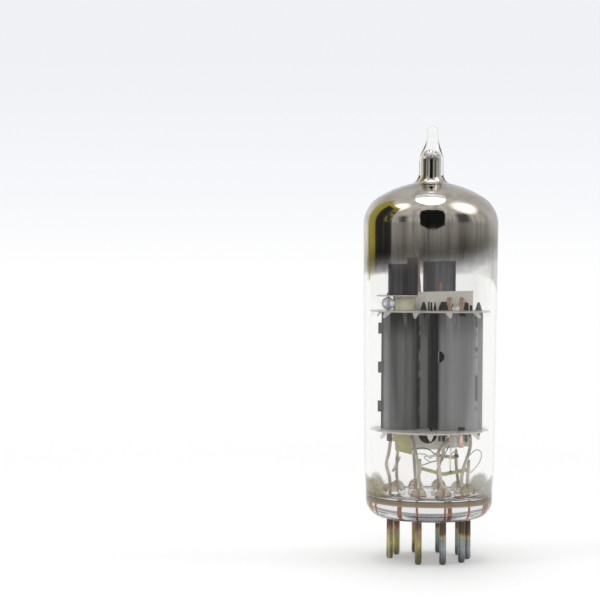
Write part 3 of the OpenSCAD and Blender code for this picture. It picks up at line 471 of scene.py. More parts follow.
class Nodes:
    """A node tree under construction, whose patterns read one kind of texture coordinates."""

    def __init__(self, tree, output, place):
        self.tree = tree
        self.tree.nodes.clear()
        self.output = self.node(output)
        self.place = self.node("ShaderNodeTexCoord").outputs[place]

    def node(self, kind, inputs=(), **settings):
        """Adds a node; inputs pair a socket's name or number with a value or a socket that feeds it."""
        made = self.tree.nodes.new(kind)
        for key, value in settings.items():
            setattr(made, key, value)
        for key, value in dict(inputs).items():
            self.feed(made.inputs[key], value)
        return made

    def feed(self, socket, value):
        if isinstance(value, bpy.types.NodeSocket):
            self.tree.links.new(value, socket)
        elif isinstance(value, tuple) and len(value) == 3 and socket.type == "RGBA":
            socket.default_value = (*value, 1)
        else:
            socket.default_value = value

    def noise(self, scale, detail=3.0, rough=0.55, stretch=(1, 1, 1), warp=0.0, shift=0.0):
        """Cloudy pattern with scale features to the metre, stretched along the axes and shifted in metres."""
        inputs = {"Vector": self.place, "Scale": stretch, "Location": (shift, shift, shift)}
        place = self.node("ShaderNodeMapping", inputs).outputs[0]
        inputs = {"Vector": place, "Scale": scale, "Detail": detail, "Roughness": rough, "Distortion": warp}
        return self.node("ShaderNodeTexNoise", inputs).outputs["Fac"]

    def axis(self, name):
        return self.node("ShaderNodeSeparateXYZ", {0: self.place}).outputs[name]

    def spread(self, value, low, high, to_low=0.0, to_high=1.0):
        """Values from low to high carried to to_low to to_high, smoothly and no further."""
        inputs = {"Value": value, "From Min": low, "From Max": high, "To Min": to_low, "To Max": to_high}
        return self.node("ShaderNodeMapRange", inputs, interpolation_type="SMOOTHSTEP").outputs["Result"]

    def maths(self, kind, a, b=0.0):
        return self.node("ShaderNodeMath", {0: a, 1: b}, operation=kind).outputs[0]

    def times(self, a, b):
        return self.maths("MULTIPLY", a, b)

    def plus(self, a, b):
        return self.maths("ADD", a, b)

    def less(self, a, b):
        return self.maths("SUBTRACT", a, b)

    def ramp(self, value, stops):
        """Colour along stops of a place and a colour."""
        made = self.node("ShaderNodeValToRGB", {"Fac": value})
        while len(made.color_ramp.elements) < len(stops):
            made.color_ramp.elements.new(0.5)
        for element, (place, colour) in zip(made.color_ramp.elements, stops):
            element.position = place
            element.color = (*colour, 1)
        return made.outputs["Color"]

    def mix(self, share, a, b):
        made = self.node("ShaderNodeMix", data_type="RGBA")
        self.feed(made.inputs["Factor"], share)
        self.feed(made.inputs[6], a)
        self.feed(made.inputs[7], b)
        return made.outputs[2]

    def bump(self, height, strength, depth=0.00005):
        inputs = {"Height": height, "Strength": strength, "Distance": depth}
        return self.node("ShaderNodeBump", inputs).outputs[0]

    def shine(self, **inputs):
        """The surface shader; underscores in the names stand for spaces."""
        named = {key.replace("_", " "): value for key, value in inputs.items()}
        return self.node("ShaderNodeBsdfPrincipled", named).outputs[0]

    def close(self, shader):
        self.tree.links.new(shader, self.output.inputs["Surface"])


class Finish(Nodes):
    """A material under construction, whose patterns read Object coordinates."""

    def __init__(self, name):
        self.material = bpy.data.materials.new(name)
        self.material.use_nodes = True
        super().__init__(self.material.node_tree, "ShaderNodeOutputMaterial", "Object")

    def done(self, shader):
        self.close(shader)
        return self.material


def clear_glass():
    """Drawn soda-lime glass, faintly wavy, rippled where the base is sealed on, and clear to lamps. Its base
    darkens downwards: partly the thick glass's own tint, and at the seat painted shade. A band low on its
    front is a painted dark reflection.
    """
    f = Finish("bulb_glass")
    z = f.axis("Z")
    # Darker towards the seat: a faint olive tint of the thick base glass, and in its lowest part painted
    # shade.
    clean = f.ramp(f.spread(z, 0.0065, 0.0135), [
        (0.0, (0.46, 0.44, 0.46)), (0.05, (0.56, 0.54, 0.53)), (0.1, (0.90, 0.90, 0.89)),
        (0.5, (0.91, 0.905, 0.89)), (1.0, (0.973, 0.971, 0.966)),
    ])
    # A dark violet band low on the front of the base is a painted dark reflection.
    band = f.times(f.spread(z, 0.0068, 0.0071), f.spread(z, 0.0076, 0.0081, 0.95, 0.0))
    painted_dark_band = f.times(band, f.spread(f.axis("Y"), -0.0085, -0.0077, 1.0, 0.0))
    base = f.mix(painted_dark_band, clean, (0.055, 0.045, 0.07))
    tint = f.mix(f.spread(z, 0.0605, 0.0625), base, (0.96, 0.96, 0.965))
    ripple = f.times(f.noise(1100, 2.0, 0.6), f.spread(z, 0.0100, 0.0145, 0.22, 0.0))
    wave = f.bump(f.plus(f.noise(160, 1.0, stretch=(1, 1, 0.35)), ripple), 0.06, 0.0001)
    glass = f.shine(Base_Color=tint, Transmission_Weight=1.0, Roughness=0.0, IOR=1.5, Normal=wave)
    through = f.node("ShaderNodeBsdfTransparent", {"Color": (0.94, 0.95, 0.945)}).outputs[0]
    lamps = f.node("ShaderNodeLightPath").outputs["Is Shadow Ray"]
    return f.done(f.node("ShaderNodeMixShader", {0: lamps, 1: glass, 2: through}).outputs[0])


def getter_film():
    """Barium mirror: bright and warm in the dome, smoky and thinning downwards and at the bore's end."""
    f = Finish("getter_mirror")
    x, y, z = (f.axis(name) for name in "XYZ")
    cloud = f.less(f.noise(90, 2.0, stretch=(1, 1, 0.25)), 0.5)
    streak = f.less(f.noise(600, 3.0, stretch=(1, 1, 0.08)), 0.5)
    drift = f.plus(f.times(cloud, 0.0024), f.times(streak, 0.0014))
    lift = f.plus(f.times(x, 0.1), f.spread(x, 0.006, 0.0105, 0.0, 0.0014))
    slant = f.less(f.times(y, 0.12), lift)
    level = f.plus(f.plus(z, drift), slant)
    share = f.spread(level, 0.0429, 0.0509)
    clean = f.ramp(share, [
        (0.0, (0.44, 0.42, 0.39)), (0.3, (0.44, 0.415, 0.375)), (0.55, (0.50, 0.47, 0.425)),
        (0.8, (0.60, 0.565, 0.51)), (1.0, (0.66, 0.625, 0.57)),
    ])
    drip = f.spread(f.noise(900, 3.0, 0.6, stretch=(1, 1, 0.05)), 0.5, 0.72, 0.0, 0.55)
    low = f.spread(level, 0.0490, 0.0525, 1.0, 0.0)
    tone = f.mix(f.times(drip, low), clean, (0.17, 0.155, 0.135))
    thin = f.ramp(share, [
        (0.0, (0.02,) * 3), (0.05, (0.16,) * 3), (0.2, (0.29,) * 3), (0.3, (0.41,) * 3), (0.41, (0.55,) * 3),
        (0.52, (0.68,) * 3), (0.64, (0.82,) * 3), (0.8, (0.96,) * 3), (0.9, (1, 1, 1)),
    ])
    cover = f.times(thin, f.spread(z, 0.0434, 0.0442))
    speck = f.times(f.noise(2400, 3.0, 0.7), 0.0022)
    bore = f.spread(f.plus(z, speck), 0.0618, 0.0632, 1.0, 0.12)
    rough = f.spread(f.noise(700, 3.0), 0.3, 0.8, 0.008, 0.02)
    return f.done(f.shine(Base_Color=tone, Metallic=1.0, Roughness=rough, Alpha=f.times(cover, bore)))


def seal_glass():
    """Olive-grey sealing glass round the leads, cloudy and let through in part."""
    f = Finish("stem_glass")
    cloud = f.noise(700, 4.0, 0.65)
    olive = [(0.3, (0.22, 0.165, 0.06)), (0.52, (0.37, 0.30, 0.14)), (0.75, (0.53, 0.455, 0.28))]
    tone = f.ramp(cloud, olive)
    cap = f.spread(f.axis("Z"), 0.0101, 0.0108, 0.1, 1.0)
    cover = f.times(f.spread(f.noise(420, 3.0), 0.3, 0.7, 0.45, 0.75), cap)
    grain = f.bump(f.noise(1900, 3.0), 0.25, 0.00003)
    return f.done(f.shine(Base_Color=tone, Roughness=0.22, Alpha=cover, Specular_IOR_Level=0.6, Normal=grain))


def seam_glass():
    """Brown-olive line of the seal between bulb and base, dark along its upper edge."""
    f = Finish("seam_glass")
    height = f.plus(f.axis("Z"), f.times(f.noise(500, 3.0), 0.00012))
    band = f.spread(height, 0.00905, 0.00998)
    tone = f.ramp(band, [
        (0.0, (0.38, 0.31, 0.17)), (0.35, (0.21, 0.145, 0.06)), (0.8, (0.26, 0.19, 0.085)),
        (0.93, (0.05, 0.035, 0.028)),
    ])
    front = f.spread(f.axis("Y"), -0.002, 0.004, 1.0, 0.5)
    cover = f.times(f.spread(f.noise(380, 3.0), 0.3, 0.7, 0.75, 0.95), front)
    return f.done(f.shine(Base_Color=tone, Roughness=0.3, Alpha=cover))


def pin_oxide():
    """Nickel pins tarnished by heat: brown near the glass, then gold or steel blue with bands of colour, and
    pale streaks of painted highlight below the glass.
    """
    f = Finish("pin_nickel")
    own = f.times(f.noise(230, 0.0, stretch=(1, 1, 0)), 0.0034)
    mottle = f.times(f.noise(420, 3.0, stretch=(1, 1, 0.4)), 0.0018)
    down = f.spread(f.plus(f.axis("Z"), f.plus(own, mottle)), 0.0099, 0.0027)
    gold = f.ramp(down, [
        (0.0, (0.085, 0.062, 0.045)), (0.25, (0.17, 0.115, 0.075)), (0.40, (0.40, 0.25, 0.18)),
        (0.52, (0.33, 0.27, 0.14)), (0.8, (0.44, 0.38, 0.17)), (1.0, (0.17, 0.155, 0.09)),
    ])
    blue = f.ramp(down, [
        (0.0, (0.075, 0.055, 0.042)), (0.3, (0.14, 0.10, 0.07)), (0.40, (0.42, 0.34, 0.14)),
        (0.48, (0.28, 0.32, 0.29)), (0.8, (0.30, 0.34, 0.37)), (1.0, (0.12, 0.13, 0.13)),
    ])
    side = f.spread(f.axis("X"), 0.0002, 0.0016)
    fleck = f.noise(2600, 4.0, 0.6, stretch=(1, 1, 0.12))
    worn = f.mix(f.spread(fleck, 0.52, 0.8, 0.0, 0.75), f.mix(side, gold, blue), (0.05, 0.042, 0.035))
    # Pale yellow upright streaks on the pins below the glass are painted highlights.
    highlight_streaks = f.spread(f.noise(1900, 3.0, stretch=(1, 1, 0.06)), 0.56, 0.7, 0.0, 0.6)
    tone = f.mix(f.times(highlight_streaks, f.spread(down, 0.35, 0.6)), worn, (0.66, 0.62, 0.42))
    rough = f.spread(f.noise(1500, 3.0, stretch=(1, 1, 0.3)), 0.25, 0.75, 0.22, 0.42)
    pits = f.bump(fleck, 0.35, 0.00003)
    return f.done(f.shine(Base_Color=tone, Metallic=1.0, Roughness=rough, Normal=pits))


def seal_wire():
    """Copper-clad seal wire: brick red and blotchy in the glass, dark grey at its weld to the pin."""
    f = Finish("dumet_copper")
    blotch = f.noise(900, 3.0, 0.6)
    red = f.ramp(blotch, [(0.35, (0.56, 0.17, 0.09)), (0.65, (0.84, 0.36, 0.22))])
    height = f.plus(f.axis("Z"), f.times(blotch, 0.0006))
    tone = f.mix(f.spread(height, 0.0079, 0.0084), (0.07, 0.066, 0.07), red)
    rough = f.spread(blotch, 0.3, 0.7, 0.3, 0.5)
    pits = f.bump(blotch, 0.2, 0.00002)
    return f.done(f.shine(Base_Color=tone, Metallic=0.3, Roughness=rough, Normal=pits))


def brushed(name, dark, light, grain, rough, metallic=1.0, stretch=(1, 1, 1), gloss=0.5):
    """Metal or coating whose colour and gloss drift between two tones, with fine grain of the given scale."""
    f = Finish(name)
    cloud = f.noise(grain * 0.18, 3.0, 0.6, stretch=stretch)
    fine = f.noise(grain, 4.0, 0.6, stretch=stretch)
    tone = f.mix(f.spread(fine, 0.35, 0.75, 0.0, 0.35), f.ramp(cloud, [(0.36, dark), (0.64, light)]), dark)
    shine = f.spread(fine, 0.25, 0.75, *rough)
    return f.done(f.shine(Base_Color=tone, Metallic=metallic, Roughness=shine, Specular_IOR_Level=gloss,
                          Normal=f.bump(fine, 0.2, 0.00002)))


def plate_coat(name, dark, light, stain, stained, shift, sooty, lit_and_shaded_bands, bend):
    """Greyed plate: upright drawing streaks, warm stains, soot below the upper edge, painted shade on the
    ears, and upright bands.

    Each band is the x it starts at, the x where it is full, and its colour; the bands are painted light and
    shade. A broken line runs up the bend, a painted shade in its crease.
    """
    f = Finish(name)
    broad = f.spread(f.noise(420, 2.0, 0.5, stretch=(1, 1, 0.02), shift=shift), 0.36, 0.64)
    drawn = f.noise(1500, 4.0, 0.6, stretch=(1, 1, 0.03))
    tone = f.mix(f.spread(drawn, 0.4, 0.8, 0.0, 0.5), f.ramp(broad, [(0.0, dark), (1.0, light)]), dark)
    warm = f.spread(f.noise(420, 2.0, 0.5, stretch=(1, 1, 0.02)), 0.60, 0.68, 0.0, stained)
    tone = f.mix(warm, tone, stain)
    # Upright bands by x lighten the plate where light falls on it and darken it where it lies in shade:
    # painted light and shade.
    for start, full, colour in lit_and_shaded_bands:
        tone = f.mix(f.spread(f.axis("X"), start, full, 0.0, 0.85), tone, colour)
    # A dark broken line up the bend is painted shade in the crease.
    line = f.spread(f.maths("ABSOLUTE", f.less(f.axis("X"), bend)), 0.0001, 0.0004, 0.8, 0.0)
    broken = f.spread(f.noise(330, 2.0, 0.6, stretch=(0.3, 0.3, 1)), 0.44, 0.54)
    tone = f.mix(f.times(line, broken), tone, (0.03, 0.03, 0.031))
    z = f.axis("Z")
    soot = f.spread(f.noise(620, 4.0, 0.65, stretch=(1, 1, 0.12), shift=shift), 0.42, 0.56, 0.0, sooty)
    top = f.times(soot, f.spread(z, 0.0330, 0.0372))
    # The ears above the upper mica and below the lower one are darkened evenly with the soot's colour:
    # painted shade.
    ears = f.maths("MAXIMUM", f.spread(z, 0.0379, 0.0384, 0.0, 0.85), f.spread(z, 0.0194, 0.0199, 0.5, 0.0))
    tone = f.mix(f.maths("MAXIMUM", top, ears), tone, (0.016, 0.016, 0.016))
    rough = f.spread(drawn, 0.25, 0.75, 0.34, 0.5)
    return f.done(f.shine(Base_Color=tone, Metallic=0.6, Roughness=rough, Specular_IOR_Level=0.12,
                          Normal=f.bump(drawn, 0.2, 0.00002)))


def mica_sheet():
    """Mica: pale pinkish grey layers that let some light through, cloudy, and clearer at the rim."""
    f = Finish("mica")
    flake = f.noise(700, 4.0, 0.65)
    body = f.ramp(flake, [(0.3, (0.36, 0.315, 0.28)), (0.55, (0.52, 0.47, 0.43)), (0.75, (0.68, 0.63, 0.59))])
    out = f.maths("SQRT", f.plus(f.maths("POWER", f.axis("X"), 2.0), f.maths("POWER", f.axis("Y"), 2.0)))
    rim = f.spread(out, 0.0078, 0.0085)
    pale = f.mix(f.times(rim, 0.6), body, (0.78, 0.75, 0.72))
    tone = f.mix(f.spread(f.axis("Z"), 0.02, 0.03, 0.45, 0.0), pale, (0.90, 0.86, 0.82))
    cover = f.less(f.spread(f.noise(260, 2.0), 0.3, 0.7, 0.84, 0.96), f.times(rim, 0.3))
    sheen = f.bump(f.noise(1800, 3.0), 0.2, 0.00002)
    return f.done(f.shine(Base_Color=tone, Roughness=0.28, Alpha=cover, Specular_IOR_Level=0.6, Normal=sheen))


def bead_glass():
    """Pale blue glass bead, clear inside with a faint swirl."""
    f = Finish("bead_glass")
    swirl = f.noise(900, 3.0, warp=0.6)
    tone = f.ramp(swirl, [(0.3, (0.78, 0.82, 1.0)), (0.7, (0.97, 0.98, 1.0))])
    rough = f.spread(swirl, 0.3, 0.7, 0.02, 0.06)
    return f.done(f.shine(
        Base_Color=tone, Roughness=rough, Transmission_Weight=0.75, IOR=1.5, Coat_Weight=0.4,
    ))


def painted_side_shade():
    """Painted olive shade on the glass at both lower sides, darker at the left, ragged above and thinning
    towards the front.
    """
    f = Finish("painted_side_shade")
    cloud = f.noise(420, 4.0, 0.6)
    x, z = f.axis("X"), f.axis("Z")
    left = f.ramp(cloud, [(0.35, (0.36, 0.315, 0.15)), (0.65, (0.54, 0.485, 0.28))])
    right = f.ramp(cloud, [(0.35, (0.56, 0.515, 0.42)), (0.65, (0.75, 0.705, 0.61))])
    # The left side's darker olive and the right side's paler tone are both painted shade.
    tone = f.mix(f.spread(x, -0.002, 0.002), left, right)
    edge = f.less(f.maths("ABSOLUTE", x), f.times(z, 0.65))
    side = f.spread(edge, -0.0007, 0.0003)
    height = f.plus(z, f.times(f.noise(330, 5.0, 0.7, shift=0.2), 0.0026))
    high = f.spread(height, 0.0136, 0.0146, 1.0, 0.0)
    cover = f.times(f.times(side, high), f.spread(cloud, 0.35, 0.65, 0.45, 0.75))
    return f.done(f.shine(Base_Color=tone, Roughness=0.5, Alpha=cover))


DRAWN = (1, 1, 0.3)
ROLLED = (1, 1, 0.4)
STREAKED = (1, 1, 0.03)
GLASS = clear_glass()
MIRROR = getter_film()
SEAL = seal_glass()
SEAM = seam_glass()
PIN = pin_oxide()
DUMET = seal_wire()
LEAD = brushed("lead_nickel", (0.34, 0.29, 0.24), (0.80, 0.73, 0.63), 2600, (0.26, 0.46), 0.3, DRAWN)
TUNGSTEN = brushed("bare_tungsten", (0.07, 0.068, 0.066), (0.17, 0.165, 0.16), 2600, (0.3, 0.5), 0.8)
MICA = mica_sheet()
# Triode plate: its flat right wing is painted lighter and its left edge painted darker, painted light and
# shade of its curve; the bend between shell and wing carries a painted shade line.
TRIODE_SKIN = plate_coat(
    "triode_plate", (0.11, 0.111, 0.112), (0.27, 0.27, 0.271), (0.30, 0.27, 0.19), 0.8, 0.01, 0.85,
    ((-0.0019, -0.0016, (0.32, 0.32, 0.323)), (-0.0069, -0.0071, (0.028, 0.027, 0.02))), -0.0017,
)
# Pentode plate: its left flange is painted near black, painted shade of the recess beside it; its right
# flange is painted lighter, painted light; the seam at its bend carries a painted shade line.
PENTODE_SKIN = plate_coat(
    "pentode_plate", (0.265, 0.266, 0.273), (0.365, 0.366, 0.375), (0.33, 0.32, 0.29), 0.3, 0.0, 0.4,
    ((0.0012, 0.0008, (0.008, 0.008, 0.009)), (0.0072, 0.0075, (0.43, 0.43, 0.44))), 0.0067,
)
# Near black with almost no gloss: the section shield is painted as the shade of the recess between the
# plates.
SHADED_SHIELD = brushed(
    "dark_screen", (0.008, 0.008, 0.009), (0.02, 0.02, 0.021), 2200, (0.55, 0.75), 0.0, gloss=0.05,
)
BRIGHT = brushed("bright_nickel", (0.84, 0.81, 0.73), (0.95, 0.92, 0.85), 1800, (0.34, 0.5), 0.25, ROLLED)
KHAKI = brushed("collar_nickel", (0.58, 0.56, 0.40), (0.78, 0.76, 0.58), 1700, (0.26, 0.42), 0.25)
AGED = brushed("aged_nickel", (0.44, 0.42, 0.19), (0.66, 0.63, 0.34), 1700, (0.3, 0.5), 0.5)
FIN = brushed("carbon_fin", (0.03, 0.03, 0.033), (0.27, 0.275, 0.30), 1500, (0.3, 0.45), 0.7, STREAKED, 0.15)
PALE_FIN = brushed(
    "pale_fin", (0.022, 0.022, 0.026), (0.31, 0.32, 0.35), 1100, (0.3, 0.45), 0.6, STREAKED, 0.15,
)
COPPER = brushed("copper_rod", (0.68, 0.42, 0.33), (0.90, 0.64, 0.53), 2400, (0.2, 0.35), 0.75, DRAWN)
NICKEL_ROD = brushed("nickel_rod", (0.36, 0.35, 0.33), (0.52, 0.50, 0.47), 2400, (0.25, 0.4), 1.0, DRAWN)
SIDE_ROD = brushed("grey_rod", (0.03, 0.03, 0.031), (0.10, 0.10, 0.102), 2400, (0.35, 0.5), 0.8, DRAWN)
GRID = brushed("grid_wire", (0.55, 0.45, 0.25), (0.72, 0.60, 0.36), 3000, (0.2, 0.35))
SLEEVE = brushed("cathode_sleeve", (0.62, 0.61, 0.59), (0.80, 0.79, 0.77), 3200, (0.6, 0.8), 0.0)
COATING = brushed("heater_coating", (0.66, 0.65, 0.62), (0.88, 0.87, 0.85), 3600, (0.65, 0.85), 0.0)
BEAD = bead_glass()
SIDE_SHADE = painted_side_shade()


# Glass

def wall_r(z):
    """Outside radius of the bulb's wall: an eased flare above the base, then a straight taper upwards."""
    flare = BASE_R + (WAIST_R - BASE_R) * ease((z - SEAL_Z) / (FLARE_Z - SEAL_Z))
    taper = WAIST_R + (BULB_R - WAIST_R) * (z - FLARE_Z) / (SHOULDER_Z - FLARE_Z)
    return np.where(z < FLARE_Z, flare, taper)


CORNER_X = wall_r(CORNER_Z) - WALL_T - CORNER_ROUND
PIN_ANGLES = np.radians(FIRST_PIN_ANGLE + PIN_STEP * np.arange(PIN_COUNT))
PIN_PLACES = PIN_CIRCLE_R * np.stack([np.sin(PIN_ANGLES), -np.cos(PIN_ANGLES)], 1)


def crown(d, tip_r):
    """Wall, shoulder, crown and neck of the bulb, all moved inwards by d, up to a tip of radius tip_r."""
    z = np.concatenate([
        np.linspace(SEAL_Z, FLARE_Z, 14),
        np.linspace(FLARE_Z, SHOULDER_Z - 0.8, 12)[1:],
        np.linspace(SHOULDER_Z - 0.6, SHOULDER_Z, 4),
    ])
    neck_x = tip_r + NECK_ROUND + d
    neck_z = CROWN_Z + math.sqrt((CROWN_ROUND + NECK_ROUND) ** 2 - neck_x ** 2)
    turn = math.degrees(math.atan2(neck_z - CROWN_Z, neck_x))
    return np.concatenate([
        np.stack([wall_r(z) - d, z], 1),
        arc(SHOULDER_X, SHOULDER_Z, SHOULDER_ROUND - d, 0, SHOULDER_ANGLE, 30)[1:],
        arc(0, CROWN_Z, CROWN_ROUND - d, SHOULDER_ANGLE, turn, 16)[1:],
        arc(neck_x, neck_z, NECK_ROUND + d, turn + 180, 180, 12)[1:],
    ])


def boss_rise(x, y):
    """Height of the glass bosses: the highest of nine domes, each a flattened half ellipse."""
    gap = np.hypot(x[..., None] - PIN_PLACES[:, 0], y[..., None] - PIN_PLACES[:, 1]).min(-1)
    return BOSS_H * np.sqrt(np.clip(1 - (gap / BOSS_R) ** 2.2, 0, None))


def envelope():
    """Bulb and base fused into one glass: an outer turned skin, and an inner one with bosses on its floor."""
    t = np.linspace(0, 1, 16)[1:]
    tip_h = NIPPLE_Z - TIP_SHOULDER_Z
    tip = np.stack([TIP_R + (NIPPLE_R - TIP_R) * ease(t), TIP_SHOULDER_Z + tip_h * t], 1)
    a = np.radians(np.linspace(0, 82, 8))
    end = np.stack([NIPPLE_TOP_R * np.cos(a), NIPPLE_TOP_Z + (OVERALL_H - NIPPLE_TOP_Z) * np.sin(a)], 1)
    outer = np.concatenate([
        [[0.5, SEAT_Z], [3, SEAT_Z]],
        arc(BASE_R - BASE_ROUND, SEAT_Z + BASE_ROUND, BASE_ROUND, -90, 0, 20),
        crown(0, TIP_R),
        [[TIP_R, TIP_SHOULDER_Z]],
        tip,
        end,
    ])
    outer[:, 0] *= FIT
    shell = lathe(outer, BULB_SIDES)
    shell[..., 0] += NIPPLE_LEAN * ease((shell[..., 2] - TIP_SHOULDER_Z) / tip_h)
    wall = crown(WALL_T, BORE_R)[::-1]
    upper = np.concatenate([arc(0, BORE_DOME_Z, BORE_R, 84, 0, 12), wall[wall[:, 1] > CORNER_Z + 0.1]])
    floor_r = np.linspace(CORNER_X, 0.12, 64)[1:]
    lower = np.concatenate([
        arc(CORNER_X, CORNER_Z, CORNER_ROUND, 0, -90, 18),
        np.stack([floor_r, np.full_like(floor_r, FLOOR_Z)], 1),
    ])
    inner = lathe(np.concatenate([upper, lower]), BULB_SIDES)
    floor = inner[len(upper):]
    floor[..., 2] = np.maximum(floor[..., 2], FLOOR_Z + boss_rise(floor[..., 0], floor[..., 1]))
    return [
        skin(shell, [0, 0, SEAT_Z], [NIPPLE_LEAN, 0, OVERALL_H]),
        skin(inner, [0, 0, BORE_DOME_Z + BORE_R], [0, 0, FLOOR_Z]),
    ]


def film(line, deep, shallow):
    """Thin closed skin in the glass: a profile turned at two depths under the inner surface."""
    return [hoop(lathe(np.concatenate([line(deep), line(shallow)[::-1]]), FILM_SIDES))]


def mirror_line(depth):
    """Profile of the getter mirror: up the wall, over shoulder, crown and neck, and round the bore's end."""
    dome = crown(WALL_T - depth, BORE_R + depth)
    z = np.append(np.linspace(FLASH_LOW_Z, SHOULDER_Z - 0.2, 14), SHOULDER_Z)
    return np.concatenate([
        np.stack([wall_r(z) - WALL_T + depth, z], 1),
        dome[dome[:, 1] > SHOULDER_Z + 0.01],
        arc(0, BORE_DOME_Z, BORE_R + depth, 0, 80, 10),
    ])


def side_shade_line(depth):
    """Profile of the painted side shade: down the wall and round the corner to the floor."""
    z = np.linspace(SIDE_SHADE_TOP_Z, CORNER_Z, 10)[:-1]
    return np.concatenate([
        np.stack([wall_r(z) - WALL_T + depth, z], 1),
        arc(CORNER_X, CORNER_Z, CORNER_ROUND + depth, 0, -72, 12),
    ])


def boss_beads():
    """Sealing glass over the bosses: nine domes, half ellipses turned round each lead."""
    a = np.radians(np.linspace(0, 80, 12))
    dome = np.stack([BOSS_CAP_R * np.cos(a) ** 0.8, BOSS_CAP_Z + BOSS_CAP_H * np.sin(a)], 1)
    one = skin(lathe(dome, 36), [0, 0, BOSS_CAP_Z], [0, 0, BOSS_CAP_Z + BOSS_CAP_H])
    return [moved(one, x, y) for x, y in PIN_PLACES]


def seal_band():
    """Seam of the seal: a low turned ring of four-cornered section inside the glass, just under the floor."""
    outside = [[SEAM_OUT_R, SEAM_LOW_Z], [SEAM_OUT_R, FLOOR_Z]]
    section = np.array([[SEAM_IN_R, SEAM_LOW_Z], *outside, [SEAM_IN_R, FLOOR_Z]])
    return [hoop(lathe(section, FILM_SIDES))]


make("envelope", envelope(), GLASS, "bulb_glass", "bulb", "button_stem")
make("getter_mirror", film(mirror_line, 0.06, 0.03), MIRROR, "getter_mirror", "getter_flash")
make("boss_beads", boss_beads(), SEAL, "stem_glass")
make("seal_band", seal_band(), SEAM, "stem_glass")
# Painted shade on the glass at its lower left and right sides.
make("painted_side_shade", film(side_shade_line, 0.09, 0.06), SIDE_SHADE, "stem_glass")


# Pins, seals and leads

def base_pin():
    """Turned pin with a rounded tip."""
    a = np.radians(np.linspace(0, 90, 9))[1:]
    tip_r = PIN_TIP_FLAT_R + (PIN_R - PIN_TIP_FLAT_R) * np.sin(a)
    tip = np.stack([tip_r, PIN_TIP_H * (1 - np.cos(a))], 1)
    body = [[PIN_R, 2], [PIN_R, 4], [PIN_R, PIN_TOP_Z - PIN_BEVEL], [PIN_R - PIN_BEVEL, PIN_TOP_Z]]
    return skin(lathe(np.concatenate([[[PIN_TIP_FLAT_R, 0]], tip, body]), 32))


seals = []
for number, (pin_x, pin_y) in enumerate(PIN_PLACES, 1):
    make(f"pin_{number}_body", [moved(base_pin(), pin_x, pin_y)], PIN, "pin_nickel", f"pin_{number}")
    bends = flowing([[pin_x, pin_y, LEAD_FREE_Z]] + LEAD_ROUTES[number - 1])
    route = np.concatenate([[[pin_x, pin_y, LEAD_Z]], bends])
    make(f"lead_{number}_wire", [wire(route, LEAD_R)], LEAD, "lead_nickel", f"lead_{number}")
    seals.append(wire(straight(pin_x, pin_y, PIN_TOP_Z, 8, 9.5, LEAD_Z), SEAL_R, blunt=0.1))
make("seal_wires", seals, DUMET, "dumet_copper", "dumet_seals")


# Plates and grids

def triode_half(side):
    """Half of the round plate: a wing, a half circle and a wing in plan, with lugs, ears and a lower tab."""
    r = TRIODE_R - SHEET_T / 2
    start = math.degrees(math.asin(SHEET_T / 2 / r))
    shell = arc(TRIODE_X, 0, r, 180 + start, 360 - start, 61)
    flat = -SHEET_T / 2
    line = np.concatenate([
        [[TRIODE_WING_LEFT, flat], [shell[0, 0] - TRIODE_BEND, flat]],
        shell[1:-1],
        [[shell[-1, 0] + TRIODE_BEND, flat], [TRIODE_WING_RIGHT, flat]],
    ])
    parts = [leaf(upright(line, PLATE_Z, TOP_MICA_Z, 6), SHEET_T)]
    lug = np.array([[TRIODE_LUG_LEFT, flat], [TRIODE_WING_LEFT + SHEET_LAP, flat]])
    for middle in np.linspace(PLATE_Z, TOP_MICA_Z, 7)[1::2] + TRIODE_LUG_RISE:
        parts.append(leaf(upright(lug, middle - TRIODE_LUG_H / 2, middle + TRIODE_LUG_H / 2), SHEET_T))
    parts += ear_pair(TRIODE_EAR_X, flat, EAR_W)
    tab_angles = TRIODE_TAB_ANGLE - TRIODE_TAB_SPREAD, TRIODE_TAB_ANGLE + TRIODE_TAB_SPREAD
    tab = arc(TRIODE_X, 0, r, *tab_angles, 7)
    parts.append(leaf(upright(tab, BOTTOM_MICA_Z - TAB_DROP, PLATE_Z + SHEET_LAP), SHEET_T))
    if side > 0:
        return parts
    return [(points * [1, -1, 1], [group[:, ::-1] for group in groups]) for points, groups in parts]


for half, side in (("front", 1), ("rear", -1)):
    make(f"triode_{half}", triode_half(side), TRIODE_SKIN, "triode_plate", f"triode_plate_{half}")
    dress(f"pentode_plate_{half}", PENTODE_SKIN)
# The section shield wears painted shade of the recess between the plates.
dress("section_shield", SHADED_SHIELD)
for mica in ("bottom_mica", "top_mica", "radiator_mica"):
    dress(mica, MICA)


def rod_pair(middle, out, r, top):
    """Two upright round rods at equal distances from a middle x."""
    return [wire(straight(x, 0, ROD_LOW_Z, ROD_MID_Z, top), r) for x in (middle - out, middle + out)]


